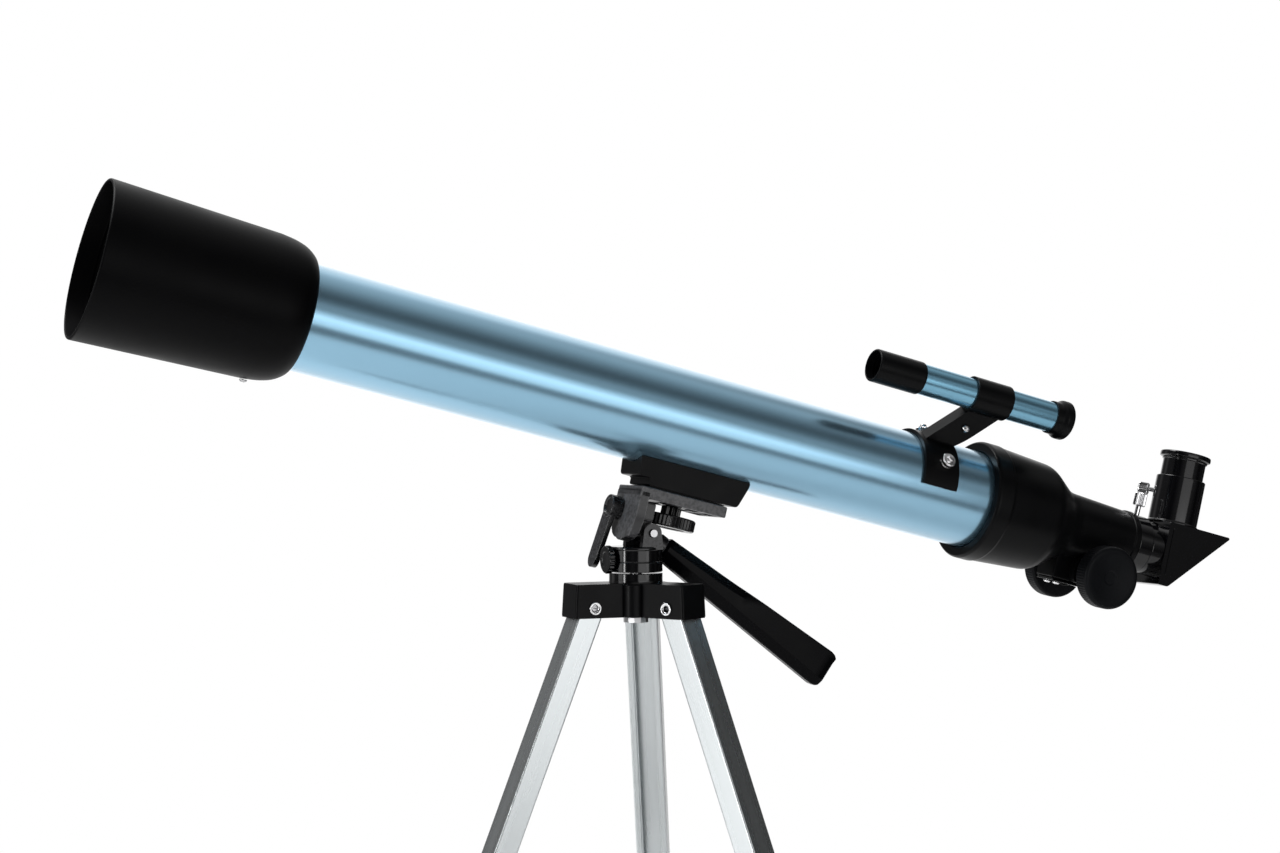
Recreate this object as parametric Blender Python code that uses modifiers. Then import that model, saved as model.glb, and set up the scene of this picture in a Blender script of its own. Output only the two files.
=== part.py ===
"""Small refracting telescope on a folding table tripod.

World: metres, +Z up, floor at Z = 0, origin at the middle of the object's footprint box.
Inside the telescope, positions are (s, y, h) in millimetres from a point on the tube's axis:
s runs along the tube towards the eyepiece, y is world Y and h is square to both, upwards.
"""
import math

import bmesh
import bpy
from mathutils import Vector

MM = 0.001
GAP = 0.3                    # left between pieces that touch

# Tube and pointing
ELEVATION = 13.938           # how far the objective end points up, in degrees
TUBE_R = 27.0
TUBE_WALL = 1.0
TUBE_FRONT = -192.0
TUBE_BACK = 207.0
SHIELD_FRONT = -292.0
SHIELD_R = 39.5
SHIELD_BACK = -187.0
SHIELD_STEP = -204.0
LENS_R = 25.2

# Focuser and diagonal
FOCUSER_ROLL = 3.5           # the focuser sits turned a little about the tube, in degrees
NECK_END = 310.0
DRAWTUBE_R = 15.0
DRAWTUBE_BORE = 12.6
PINION_S = 287.0
PINION_H = -23.0
RACK_MODULE = 0.8
PINION_TEETH = 10
TOOTH_HALF = 0.45            # half the height of a tooth about the pitch line
KNOB_R = 17.5
DIAGONAL_TOP = 16.5
DIAGONAL_TIP = 371.0
EYEPIECE_S = 341.0
EYEPIECE_TOP = 58.7

# Finder
FINDER_LEAN = 26.0           # the finder stands this far round the tube, in degrees
FINDER_RHO = 59.0            # from the tube's axis to the finder's
FINDER_R = 8.3

# Head
TILT_S, TILT_H = 17.07, -61.71   # tilt axis in the telescope's frame
TILT_FROM_PAN = 4.0              # tilt axis ahead of the pan axis, towards the eyepiece
TILT_DROP = 64.0                 # tilt axis below the tube's reference point
FLIP_Y, FLIP_H = 8.0, -52.0      # axis that the camera plate flips about
HANDLE_SLOPE = 35.8              # handle below horizontal, in degrees
PAN_R = 14.0
PAN_TOP, PAN_SPLIT, COLLAR_BASE = -71.0, -84.5, -89.7   # heights from the tube's reference point

# Tripod
LEG_AZIMUTHS = (60.0, 180.0, 300.0)
SPLAY = 21.4
LEG_LENGTH = 290.0           # rivet to sole, legs closed up
PIVOT_RADIUS = 27.0
PIVOT_DROP = 102.0           # leg rivets below the tube's reference point
CROWN_R = 37.8
CROWN_ARM_HALF = 10.2
CROWN_HEIGHT = 17.4
LEG_HALF_W, LEG_HALF_D, LEG_WALL, LEG_LIP = 8.65, 6.1, 1.0, 3.2

SIN = math.sin(math.radians(ELEVATION))
COS = math.cos(math.radians(ELEVATION))
REF_Z = PIVOT_DROP + LEG_LENGTH * math.cos(math.radians(SPLAY))
FRONT_X = SHIELD_FRONT * COS - SHIELD_R * SIN
BACK_X = DIAGONAL_TIP * COS + DIAGONAL_TOP * SIN
REF_X = -(FRONT_X + BACK_X) / 2
TILT_X = REF_X + TILT_S * COS + TILT_H * SIN
PAN_X = TILT_X - TILT_FROM_PAN

ORIGIN = UP = (0, 0, 0)
ALONG_S, ALONG_Y = (0, 90, 0), (-90, 0, 0)
SIDE_VIEW = (90, 0, 0)       # an outline drawn in (s, h)
FRONT_VIEW = (90, 0, 90)     # an outline drawn in (y, h)

BLACK = ((0.012, 0.012, 0.014), 0.35, 0.0)
BLACK_SATIN = ((0.02, 0.02, 0.023), 0.55, 0.0)
BLUE = ((0.17, 0.42, 0.60), 0.28, 0.85)
ALUMINIUM = ((0.62, 0.64, 0.66), 0.38, 0.9)
CHROME = ((0.8, 0.8, 0.8), 0.12, 1.0)
RUBBER = ((0.025, 0.026, 0.03), 0.8, 0.0)
STEEL = ((0.55, 0.55, 0.55), 0.3, 1.0)
GLASS = ((0.75, 0.85, 0.9), 0.02, 0.0)

for old in list(bpy.data.objects):
    bpy.data.objects.remove(old)
PARTS = bpy.data.collections.new("telescope_on_tripod")
CUTTERS = bpy.data.collections.new("cutters")
for collection in (PARTS, CUTTERS):
    bpy.context.scene.collection.children.link(collection)


# ---- helpers ---------------------------------------------------------------------------

def place(obj, parent, at, turn):
    obj.parent = parent
    obj.location = Vector(at) * MM
    obj.rotation_euler = [math.radians(a) for a in turn]
    return obj


def frame(name, parent=None, at=(0, 0, 0), turn=(0, 0, 0)):
    empty = bpy.data.objects.new(name, None)
    PARTS.objects.link(empty)
    return place(empty, parent, at, turn)


def finish(mesh, name, parent, at, turn, look):
    """Link a mesh as a part with its own material, or as a cutter when look is None."""
    obj = bpy.data.objects.new(name, mesh)
    if look is None:
        CUTTERS.objects.link(obj)
        obj.hide_render = True
        obj.display_type = "WIRE"
        return place(obj, parent, at, turn)
    PARTS.objects.link(obj)
    colour, roughness, metallic = look
    material = bpy.data.materials.new(name)
    material.use_nodes = True
    shader = material.node_tree.nodes["Principled BSDF"]
    shader.inputs["Base Color"].default_value = (*colour, 1)
    shader.inputs["Roughness"].default_value = roughness
    shader.inputs["Metallic"].default_value = metallic
    mesh.materials.append(material)
    return place(obj, parent, at, turn)


def turned(name, profile, parent, at=ORIGIN, turn=UP, segments=24, look=None):
    """Turn (radius, height) points about local Z; they run down the outside, then up the inside."""
    mesh = bpy.data.meshes.new(name)
    edges = [(i, i + 1) for i in range(len(profile) - 1)]
    if profile[0][0] > 0:
        edges.append((len(profile) - 1, 0))
    mesh.from_pydata([(r * MM, 0, z * MM) for r, z in profile], edges, [])
    obj = finish(mesh, name, parent, at, turn, look)
    screw = obj.modifiers.new("turn", "SCREW")
    screw.steps = screw.render_steps = segments
    screw.use_merge_vertices = True
    screw.merge_threshold = 0.00001
    return obj


def rod(name, radius, low, high, parent, at=ORIGIN, turn=UP, segments=16, look=None):
    bm = bmesh.new()
    bmesh.ops.create_cone(bm, cap_ends=True, segments=segments, radius1=radius * MM,
                          radius2=radius * MM, depth=(high - low) * MM)
    bmesh.ops.translate(bm, vec=(0, 0, (high + low) / 2 * MM), verts=bm.verts)
    mesh = bpy.data.meshes.new(name)
    bm.to_mesh(mesh)
    bm.free()
    mesh.shade_smooth()
    mesh.set_sharp_from_angle(angle=math.radians(35))
    return finish(mesh, name, parent, at, turn, look)


def box(name, low, high, parent, at=ORIGIN, turn=UP, look=None):
    size = [(b - a) * MM for a, b in zip(low, high)]
    middle = [(b + a) / 2 * MM for a, b in zip(low, high)]
    bm = bmesh.new()
    bmesh.ops.create_cube(bm, size=1)
    bmesh.ops.scale(bm, vec=size, verts=bm.verts)
    bmesh.ops.translate(bm, vec=middle, verts=bm.verts)
    mesh = bpy.data.meshes.new(name)
    bm.to_mesh(mesh)
    bm.free()
    return finish(mesh, name, parent, at, turn, look)


def slab(name, outline, thickness, parent, at=ORIGIN, turn=UP, look=None, top_scale=1.0):
    """Extrude a closed (x, y) outline half its thickness each way along local Z."""
    curve = bpy.data.curves.new(name, "CURVE")
    curve.dimensions = "2D"
    curve.fill_mode = "BOTH"
    curve.extrude = thickness / 2 * MM
    spline = curve.splines.new("POLY")
    spline.points.add(len(outline) - 1)
    for point, (x, y) in zip(spline.points, outline):
        point.co = (x * MM, y * MM, 0, 1)
    spline.use_cyclic_u = True
    source = bpy.data.objects.new(name + "_outline", curve)
    PARTS.objects.link(source)
    evaluated = source.evaluated_get(bpy.context.evaluated_depsgraph_get())
    mesh = bpy.data.meshes.new_from_object(evaluated)
    bpy.data.objects.remove(source)
    bm = bmesh.new()
    bm.from_mesh(mesh)
    bmesh.ops.remove_doubles(bm, verts=bm.verts, dist=0.000005)
    bmesh.ops.recalc_face_normals(bm, faces=bm.faces)
    for vert in bm.verts:
        if vert.co.z > 0:
            vert.co.xy *= top_scale
    bm.to_mesh(mesh)
    bm.free()
    mesh.name = name
    mesh.materials.clear()
    return finish(mesh, name, parent, at, turn, look)


def boolean(target, tool, operation):
    modifier = target.modifiers.new(tool.name, "BOOLEAN")
    modifier.operation = operation
    modifier.object = tool
    return target


def cut(target, *tools):
    for tool in tools:
        boolean(target, tool, "DIFFERENCE")


def join(target, *tools):
    for tool in tools:
        boolean(target, tool, "UNION")


def bevel(obj, width, segments=2):
    modifier = obj.modifiers.new("round", "BEVEL")
    modifier.width = width * MM
    modifier.segments = segments
    modifier.limit_method = "ANGLE"
    modifier.angle_limit = math.radians(50)


def arc(x, y, radius, start, end, steps):
    """Points on a circle, from one angle in degrees to another."""
    angles = [math.radians(start + (end - start) * i / steps) for i in range(steps + 1)]
    return [(x + radius * math.cos(a), y + radius * math.sin(a)) for a in angles]


def ring(name, outer, inner, low, high, parent, **options):
    profile = [(outer, high), (outer, low), (inner, low), (inner, high)]
    return turned(name, profile, parent, **options)


# ---- frames ----------------------------------------------------------------------------

FLOOR = frame("floor")
TRIPOD = frame("tripod_axis", at=(PAN_X, 0, REF_Z))
PAN = frame("pan_axis", TRIPOD, (0, 0, PAN_SPLIT))
TILT = frame("tilt_axis", PAN, (TILT_FROM_PAN, 0, -TILT_DROP - PAN_SPLIT), (0, ELEVATION, 0))
FLIP = frame("flip_axis", TILT, (-TILT_S, FLIP_Y, FLIP_H - TILT_H))
TUBE = frame("tube_axis", FLIP, (0, -FLIP_Y, -FLIP_H))
HANDLE = frame("handle_axis", TILT, turn=(0, HANDLE_SLOPE - ELEVATION, 0))
FOCUSER = frame("focuser_axis", TUBE, turn=(FOCUSER_ROLL, 0, 0))
PINION = frame("pinion_axis", FOCUSER, (PINION_S, 0, PINION_H))
DRAWTUBE = frame("drawtube_axis", FOCUSER)
DIAGONAL = frame("diagonal_axis", TUBE)
EYEPIECE = frame("eyepiece_axis", DIAGONAL, (EYEPIECE_S, 0, 0))
FINDER = frame("finder_lean", TUBE, turn=(FINDER_LEAN, 0, 0))


def on_tilt(s, y, h):
    """A point of the telescope's frame, given from the tilt axis."""
    return s - TILT_S, y, h - TILT_H


# ---- optical tube ----------------------------------------------------------------------

def optical_tube():
    lens_front, lens_back = -208.6, -204.0
    turned("main_tube", [(TUBE_R, TUBE_BACK), (TUBE_R, TUBE_FRONT), (TUBE_R - TUBE_WALL, TUBE_FRONT),
           (TUBE_R - TUBE_WALL, TUBE_BACK)], TUBE, turn=ALONG_S, segments=40, look=BLUE)
    bore = TUBE_R + GAP
    turned("dew_shield", [
        (28.4, SHIELD_BACK), (31.0, -188.8), (34.0, -193.2), (35.8, -199.5), (36.5, -206.5),
        (SHIELD_R, SHIELD_FRONT + 0.8), (SHIELD_R - 0.5, SHIELD_FRONT), (SHIELD_R - 1.4, SHIELD_FRONT),
        (35.1, SHIELD_STEP), (bore, SHIELD_STEP), (bore, SHIELD_BACK),
    ], TUBE, turn=ALONG_S, segments=40, look=BLACK_SATIN)
    turned("objective_cell", [
        (25.6, -188.5), (25.6, SHIELD_STEP - GAP), (34.5, SHIELD_STEP - GAP), (34.5, -209.5),
        (LENS_R + GAP, -209.5), (LENS_R + GAP, lens_back + 0.4), (23.6, lens_back + 0.4), (23.6, -188.5),
    ], TUBE, turn=ALONG_S, segments=40, look=BLACK_SATIN)
    dome = [(LENS_R * k / 4, lens_front - 2.4 * (1 - (k / 4) ** 2)) for k in range(4, -1, -1)]
    turned("objective_lens", [(0, lens_back), (LENS_R, lens_back)] + dome, TUBE, turn=ALONG_S,
           segments=32, look=GLASS)
    turned("shield_screw", [(0, -36.95), (1.9, -36.95), (1.9, -37.4), (1.2, -38.1), (0, -38.3)],
           TUBE, at=(-206.5, 0, 0), segments=12, look=STEEL)


def saddle_and_plate():
    outline = [(1.4, -21), (2.7, -34), (9, -34), (9, -38), (60.8, -38), (65.3, -26), (65.3, -21)]
    saddle = slab("saddle", outline, 26, TUBE, turn=SIDE_VIEW, look=BLACK_SATIN)
    cut(saddle, rod("saddle_curve", TUBE_R + GAP, -10, 80, TUBE, turn=ALONG_S, segments=40),
        rod("saddle_thread", 3.5, -40, -30, TUBE, at=(30, 0, 0)))
    box("platform_pad", (10, -13, -38.9), (53, 13, -38.3), TUBE, look=RUBBER)
    cut(bpy.data.objects["platform_pad"], rod("pad_hole", 3.5, -40, -37, TUBE, at=(30, 0, 0)))

    platform = box("camera_platform", (4.6, -15.5, -45), (54.4, 15.5, -39.2), TUBE, look=BLACK)
    bevel(platform, 0.6, 1)
    flange_outline = [(-15.5, -40)] + [(-15.5, -56), (-11.5, -66)] + arc(0, -60, 9, 230, 310, 3)
    flange_outline += [(11.5, -66), (15.5, -56), (15.5, -40)]
    flange = slab("platform_flange", flange_outline, 5, TUBE, at=(7.1, 0, 0), turn=FRONT_VIEW)
    join(platform, flange)
    cut(platform, rod("platform_screw_hole", 3.5, -50, -35, TUBE, at=(30, 0, 0)),
        rod("flip_bolt_hole", 2.6, 0, 12, TUBE, at=(0, FLIP_Y, FLIP_H), turn=ALONG_S))
    turned("camera_screw", [
        (0, -31), (3.1, -31), (3.1, -45.3), (4.5, -45.3), (4.5, -50), (13.4, -50), (14, -50.6), (14, -55.9),
        (13.4, -56.4), (0, -56.4)], TUBE, at=(30, 0, 0), segments=24, look=BLACK)


# ---- focuser ---------------------------------------------------------------------------

def focuser_body():
    body = turned("focuser_body", [
        (17.7, NECK_END), (17.7, 306.8), (17.0, 306.4), (19.0, 268.0), (20.2, 263.4), (29.6, 249.0),
        (30.4, 246.6), (32.6, 213.0), (33.0, 211.0), (33.0, 204.6), (32.2, 203.2), (28.0, 203.2),
        (TUBE_R + GAP, 204.0), (TUBE_R + GAP, 207.4), (26.0, 207.4), (26.0, 244.0), (16.4, 262.0),
        (DRAWTUBE_R + 0.4, 264.0), (DRAWTUBE_R + 0.4, NECK_END),
    ], FOCUSER, turn=ALONG_S, segments=32, look=BLACK_SATIN)
    join(body, box("pinion_box", (264, -8.5, -30), (300, 8.5, -14), FOCUSER),
         rod("pinion_boss", 13.0, -13.5, 13.5, PINION, turn=ALONG_Y, segments=24))
    cut(body, rod("neck_clear", DRAWTUBE_R + 0.5, 262, 312, FOCUSER, turn=ALONG_S, segments=32),
        box("boss_trim", (260, -20, -50), (312, 20, -30), FOCUSER),
        box("rack_slot", (250, -2.2, -20.3), (312, 2.2, -12), FOCUSER),
        box("gear_pocket", (PINION_S - 5.4, -2.2, -31), (PINION_S + 5.4, 2.2, -19), FOCUSER),
        rod("pinion_bore", 2.3, -15, 15, PINION, turn=ALONG_Y, segments=12))
    box("pinion_cover", (265, -8, -31.8), (299, 8, -30.3), FOCUSER, look=BLACK)
    for side, y in (("near", -4.6), ("far", 4.6)):
        turned(f"cover_screw_{side}", [(0, -32.1), (2.1, -32.1), (2.1, -32.6), (1.3, -33.4), (0, -33.5)],
               FOCUSER, at=(270, y, 0), segments=12, look=CHROME)


def rack_outline(first, last, base, pitch_line):
    """A bar from first to last along s, with teeth below its pitch line in step with the pinion."""
    pitch = math.pi * RACK_MODULE
    points = [(first, base), (first, pitch_line + TOOTH_HALF)]
    count_back = math.floor((PINION_S - first - pitch) / pitch)
    station = PINION_S - count_back * pitch
    while station < last - pitch:
        for offset, drop in ((-0.55, TOOTH_HALF), (-0.3, -TOOTH_HALF), (0.3, -TOOTH_HALF), (0.55, TOOTH_HALF)):
            points.append((station + offset, pitch_line + drop))
        station += pitch
    return points + [(last, pitch_line + TOOTH_HALF), (last, base)]


def drawtube():
    tube = turned("drawtube", [
        (16.8, 319.5), (16.8, NECK_END + 0.5), (DRAWTUBE_R, NECK_END + 0.5), (DRAWTUBE_R, 221),
        (DRAWTUBE_BORE, 221), (DRAWTUBE_BORE, 319.5)], DRAWTUBE, turn=ALONG_S, segments=32, look=BLACK)
    pitch_line = PINION_H + RACK_MODULE * PINION_TEETH / 2
    slab("focus_rack", rack_outline(223, 308.6, -DRAWTUBE_R - GAP, pitch_line), 3.4, DRAWTUBE, turn=SIDE_VIEW,
         look=BLACK)
    cut(tube, rod("draw_screw_hole", 1.9, 11, 18, DRAWTUBE, at=(315, 0, 0), segments=12))
    thumb_screw("drawtube_screw", frame("drawtube_screw_axis", DRAWTUBE, (315, 0, 0)), 13.0, 22.0, 30.0)


def thumb_screw(name, parent, tip, neck, top, turn=UP):
    turned(name, [(0, top), (2.9, top), (3.5, top - 0.6), (3.5, neck + 0.6), (2.9, neck), (1.5, neck),
                  (1.5, tip), (0, tip)], parent, turn=turn, segments=12, look=CHROME)


def pinion_and_knobs():
    pitch_r = RACK_MODULE * PINION_TEETH / 2
    step = 2 * math.pi / PINION_TEETH
    points = []
    for tooth in range(PINION_TEETH):
        middle = math.pi / 2 + (tooth + 0.5) * step
        for offset, radius in ((-0.55, -TOOTH_HALF), (-0.3, TOOTH_HALF), (0.3, TOOTH_HALF), (0.55, -TOOTH_HALF)):
            angle = middle + offset / pitch_r
            points.append(((pitch_r + radius) * math.cos(angle), (pitch_r + radius) * math.sin(angle)))
    shaft = rod("pinion", 2.0, -29.5, 29.5, PINION, turn=ALONG_Y, segments=12, look=STEEL)
    join(shaft, slab("pinion_gear", points, 3, PINION, turn=SIDE_VIEW))
    for side, turn in (("near", (90, 0, 0)), ("far", (-90, 0, 0))):
        turned(f"focus_knob_{side}", [
            (0, 30.6), (8.0, 31.1), (14.6, 32.0), (16.3, 32.0), (KNOB_R, 30.8), (KNOB_R, 22.4), (16.6, 21.4),
            (7.0, 21.0), (6.0, 18.5), (2.3, 18.5), (2.3, 29.8), (0, 29.8)],
            PINION, turn=turn, segments=32, look=RUBBER)


def diagonal_and_eyepiece():
    body = slab("diagonal_body", [
        (328.4, DIAGONAL_TOP), (DIAGONAL_TIP - 0.6, DIAGONAL_TOP), (DIAGONAL_TIP, DIAGONAL_TOP - 0.9),
        (335.0, -20.0), (328.4, -20.0)], 32, DIAGONAL, turn=SIDE_VIEW, look=BLACK)
    nose = ring("diagonal_nose", 12.2, 10.6, 298, 329, DIAGONAL, turn=ALONG_S)
    join(body, nose, ring("diagonal_flange", 15.6, 10.6, 320, 329.5, DIAGONAL, turn=ALONG_S))
    chamber = [(330.6, 14.6), (366.3, 14.6), (333.9, -17.8), (330.6, -17.8)]
    cut(body, slab("prism_chamber", chamber, 28.6, DIAGONAL, turn=SIDE_VIEW),
        rod("light_bore", 10.6, 316, 332, DIAGONAL, turn=ALONG_S, segments=24),
        rod("eye_bore", 10.9, 12, 20, EYEPIECE, segments=24))
    slab("diagonal_prism", [(331.2, 14.1), (363.4, 14.1), (332.2, -17.1), (331.2, -17.1)], 27.4, DIAGONAL,
         turn=SIDE_VIEW, look=GLASS)
    socket = ring("eyepiece_socket", 14.0, DRAWTUBE_BORE, DIAGONAL_TOP + GAP, 44, EYEPIECE, segments=32,
                  look=BLACK)
    screw_axis = frame("eyepiece_screw_axis", EYEPIECE, (0, 0, 35), (0, 0, 135))
    cut(socket, rod("socket_screw_hole", 1.9, 10, 18, screw_axis, turn=ALONG_S, segments=12))
    thumb_screw("eyepiece_screw", screw_axis, 12.75, 17.0, 23.0, turn=ALONG_S)
    turned("eyepiece", [
        (12.6, EYEPIECE_TOP), (14.3, EYEPIECE_TOP - 0.3), (14.5, EYEPIECE_TOP - 0.9), (14.5, 55.6), (13.6, 55.0),
        (12.2, 54.2), (12.2, 24), (10.6, 24), (10.6, 50), (6.0, 51.5), (6.0, 56.5)], EYEPIECE, segments=32,
        look=BLACK)
    turned("eyepiece_lens", [(0, 47.6), (5, 47.2), (10.2, 45.8), (10.2, 44.4), (0, 44.4)], EYEPIECE,
           segments=24, look=GLASS)


# ---- finder ----------------------------------------------------------------------------

def finder():
    """The finder's frame leans round the tube; local Z runs out from the tube's axis."""
    axis = frame("finder_tube_axis", FINDER, (0, 0, FINDER_RHO))
    ring("finder_tube", FINDER_R, FINDER_R - 1.1, 138, 229.4, axis, turn=ALONG_S, look=BLUE)
    turned("finder_hood", [
        (8.6, 143.5), (8.9, 142.9), (8.9, 115.2), (8.5, 114.5), (7.6, 114.5), (7.6, 137.6),
        (FINDER_R + GAP - 0.05, 137.6), (FINDER_R + GAP - 0.05, 143.5)], axis, turn=ALONG_S, look=BLACK)
    turned("finder_eyecup", [
        (6.0, 239.0), (10.0, 239.0), (10.8, 238.2), (10.8, 234.2), (9.6, 233.0), (9.0, 228.4),
        (FINDER_R + GAP - 0.05, 228.4), (FINDER_R + GAP - 0.05, 229.8), (6.0, 229.8)], axis,
        turn=ALONG_S, look=BLACK)
    turned("finder_lens", [(0, 141.2), (6.9, 140.7), (6.9, 139.4), (0, 138.6)], axis, turn=ALONG_S,
           segments=20, look=GLASS)
    base = TUBE_R + GAP
    sector = arc(0, 0, base + 1.8, 24, 156, 16) + arc(0, 0, base, 156, 24, 16)
    bracket = slab("finder_bracket", sector, 21, FINDER, at=(168.5, 0, 0), turn=FRONT_VIEW, look=BLACK)
    post = slab("finder_post", [(160, base + 0.6), (178, base + 0.6), (197.5, 50.8), (178.0, 50.8)], 8.0, FINDER,
                turn=SIDE_VIEW)
    clamp = ring("finder_ring", FINDER_R + 1.4, FINDER_R + GAP, 176, 199, axis, turn=ALONG_S)
    join(bracket, post, clamp)
    cut(bracket, rod("finder_ring_bore", FINDER_R + GAP, 170, 205, axis, turn=ALONG_S, segments=24))
    for side, angle in (("near", 37.0), ("far", -37.0)):
        screw_axis = frame(f"finder_nut_{side}_axis", FINDER, (170.5, 0, 0), (angle, 0, 0))
        turned(f"finder_nut_{side}", [
            (0, base + 7.6), (1.7, base + 7.6), (1.9, base + 5.6), (3.7, base + 5.6), (4.0, base + 5.2),
            (4.0, base + 2.5), (3.7, base + 2.1), (0, base + 2.1)], screw_axis, segments=12, look=CHROME)
    turned("finder_clamp_screw", [(0, 6.6), (1.9, 6.4), (2.2, 5.6), (2.2, 4.3), (0, 4.3)], FINDER,
           at=(180.5, 0, 40.5), turn=(90, 0, 0), segments=12, look=CHROME)


# ---- head ------------------------------------------------------------------------------

def tilt_head():
    barrel_r = 4.8
    head = rod("tilt_head", barrel_r, -9, 9, TILT, turn=ALONG_Y, segments=24, look=BLACK)
    upper = [(-13, -56), (-13, -46.2)] + arc(FLIP_Y, FLIP_H, 6.5, 80, -40, 6) + [(9, -56)]
    join(head, slab("head_upper", upper, 5.5, TILT, at=on_tilt(12.65, 0, 0), turn=FRONT_VIEW),
         box("head_waist", on_tilt(9.9, -9, -64), on_tilt(15.4, 9, -55.5), TILT),
         rod("handle_socket", 5.6, 2.5, 13.5, HANDLE, turn=ALONG_S, segments=16))
    cut(head, rod("tilt_bore", 2.3, -12, 12, TILT, turn=ALONG_Y, segments=12),
        rod("head_bolt_hole", 2.6, 5, 20, TILT, at=on_tilt(0, FLIP_Y, FLIP_H), turn=ALONG_S, segments=12),
        rod("socket_bore", 2.6, 6.5, 15, HANDLE, turn=ALONG_S, segments=12))
    turned("flip_bolt", [(0, 16.5), (3.2, 16.5), (3.2, 15.65), (2.2, 15.65), (2.2, 0.9), (0, 0.9)],
           TILT, at=on_tilt(0, FLIP_Y, FLIP_H), turn=ALONG_S, segments=12, look=STEEL)
    turned("tilt_pin", [(0, 14.7), (3.4, 14.7), (3.4, 13.4), (2.0, 13.4), (2.0, -14.6), (0, -14.6)],
           PAN, at=(TILT_FROM_PAN, 0, -TILT_DROP - PAN_SPLIT), turn=ALONG_Y, segments=12, look=STEEL)


def flip_lever():
    lever = slab("flip_lever", arc(FLIP_Y, FLIP_H, 6, 175, 5, 6) + arc(16, -80, 5, 15, -170, 6), 2.7, FLIP,
                 at=(0.15, -FLIP_Y, -FLIP_H), turn=FRONT_VIEW, look=BLACK)
    join(lever, rod("lever_hub", 6.2, -2.2, 4.2, FLIP, turn=ALONG_S, segments=20))
    cut(lever, rod("lever_bore", 2.5, 0.4, 6, FLIP, turn=ALONG_S, segments=12))


def handle():
    blade = slab("pan_handle", [
        (14.2, -6.4), (60, -7.2), (88, -9.6), (127, -10.4), (130, -9.4), (131, -7), (131, 7), (130, 9.4),
        (127, 10.2), (60, 7.6), (14.2, 6.2)], 11, HANDLE, turn=SIDE_VIEW, look=BLACK)
    bevel(blade, 1.6, 2)
    join(blade, rod("handle_stud", 2.3, 7, 18, HANDLE, turn=ALONG_S, segments=12))


def pan_base():
    height = PAN_TOP - PAN_SPLIT
    cheek_y, cheek_t = 11.2, 3.6
    base = turned("pan_base", [
        (13.6, height), (PAN_R + 0.2, height - 0.4), (PAN_R + 0.2, height - 1.4), (PAN_R, height - 1.8),
        (PAN_R, GAP), (3.5, GAP), (3.5, 7), (0, 7), (0, height)], PAN, segments=32, look=BLACK)
    tilt_height = -TILT_DROP - PAN_SPLIT
    outline = arc(TILT_FROM_PAN, tilt_height, 5, 0, 180, 8) + [(TILT_FROM_PAN - 6, height - 2),
                                                               (TILT_FROM_PAN + 6, height - 2)]
    for side, y in (("near", -cheek_y), ("far", cheek_y)):
        join(base, slab(f"cheek_{side}", outline, cheek_t, PAN, at=(0, y, 0), turn=SIDE_VIEW))
    cut(base, box("handle_slot", (3, -7.4, 1.6), (20, 7.4, height + 2), PAN),
        rod("cheek_bore", 2.3, -16, 16, PAN, at=(TILT_FROM_PAN, 0, tilt_height), turn=ALONG_Y, segments=12),
        rod("lock_bore", 2.3, -20, -6, PAN, at=(0, 0, height / 2), turn=ALONG_S, segments=12))
    turned("pan_lock", [(0, -7), (2.0, -7), (2.0, -PAN_R - 0.4), (7.3, -PAN_R - 0.4), (7.3, -PAN_R - 3.0),
                        (6.7, -PAN_R - 3.5), (0, -PAN_R - 3.5)],
           PAN, at=(0, 0, height / 2), turn=ALONG_S, segments=20, look=BLACK)


# ---- tripod ----------------------------------------------------------------------------

def crown():
    half = CROWN_ARM_HALF
    star = []
    for azimuth in LEG_AZIMUTHS:
        a = math.radians(azimuth)
        for along, across in ((half / math.tan(math.radians(60)), -half), (CROWN_R, -half), (CROWN_R, half)):
            star.append((along * math.cos(a) - across * math.sin(a), along * math.sin(a) + across * math.cos(a)))
    middle = COLLAR_BASE - CROWN_HEIGHT / 2
    body = slab("crown", star, CROWN_HEIGHT, TRIPOD, at=(0, 0, middle), look=BLACK, top_scale=0.97)
    bevel(body, 1.0, 2)
    for number, azimuth in enumerate(LEG_AZIMUTHS, 1):
        a = math.radians(azimuth + 60)
        join(body, rod(f"crown_boss_{number}", 5.6, COLLAR_BASE - CROWN_HEIGHT, COLLAR_BASE - 0.2, TRIPOD,
                       at=(11.8 * math.cos(a), 11.8 * math.sin(a), 0)))
    join(body, rod("crown_collar", PAN_R, COLLAR_BASE - 2, PAN_SPLIT - GAP, TRIPOD, segments=32))
    for number, azimuth in enumerate(LEG_AZIMUTHS, 1):
        arm = frame(f"crown_arm_{number}", TRIPOD, (0, 0, -PIVOT_DROP), (0, 0, azimuth))
        cut(body, box(f"leg_slot_{number}", (16.6, -LEG_HALF_W - GAP, -12), (35.6, LEG_HALF_W + GAP, 10.2), arm),
            rod(f"rivet_hole_{number}", 2.7, -14, 14, arm, at=(PIVOT_RADIUS, 0, 0), turn=ALONG_Y, segments=12))
        edge = half + 0.25
        turned(f"leg_rivet_{number}", [
            (3.1, edge + 0.8), (3.1, edge), (2.3, edge), (2.3, -edge), (3.1, -edge), (3.1, -edge - 0.8),
            (1.5, -edge - 0.8), (1.5, edge + 0.8)], arm, at=(PIVOT_RADIUS, 0, 0), turn=ALONG_Y, segments=16,
            look=CHROME)
    cut(body, rod("pan_bolt_hole", 3.5, -115, -80, TRIPOD))
    turned("pan_bolt", [
        (0, PAN_SPLIT + 6), (3.0, PAN_SPLIT + 6), (3.0, -PIVOT_DROP - 5.5), (6.5, -PIVOT_DROP - 5.5),
        (6.5, -PIVOT_DROP - 8.5), (0, -PIVOT_DROP - 8.5)], TRIPOD, segments=12, look=STEEL)


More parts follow.
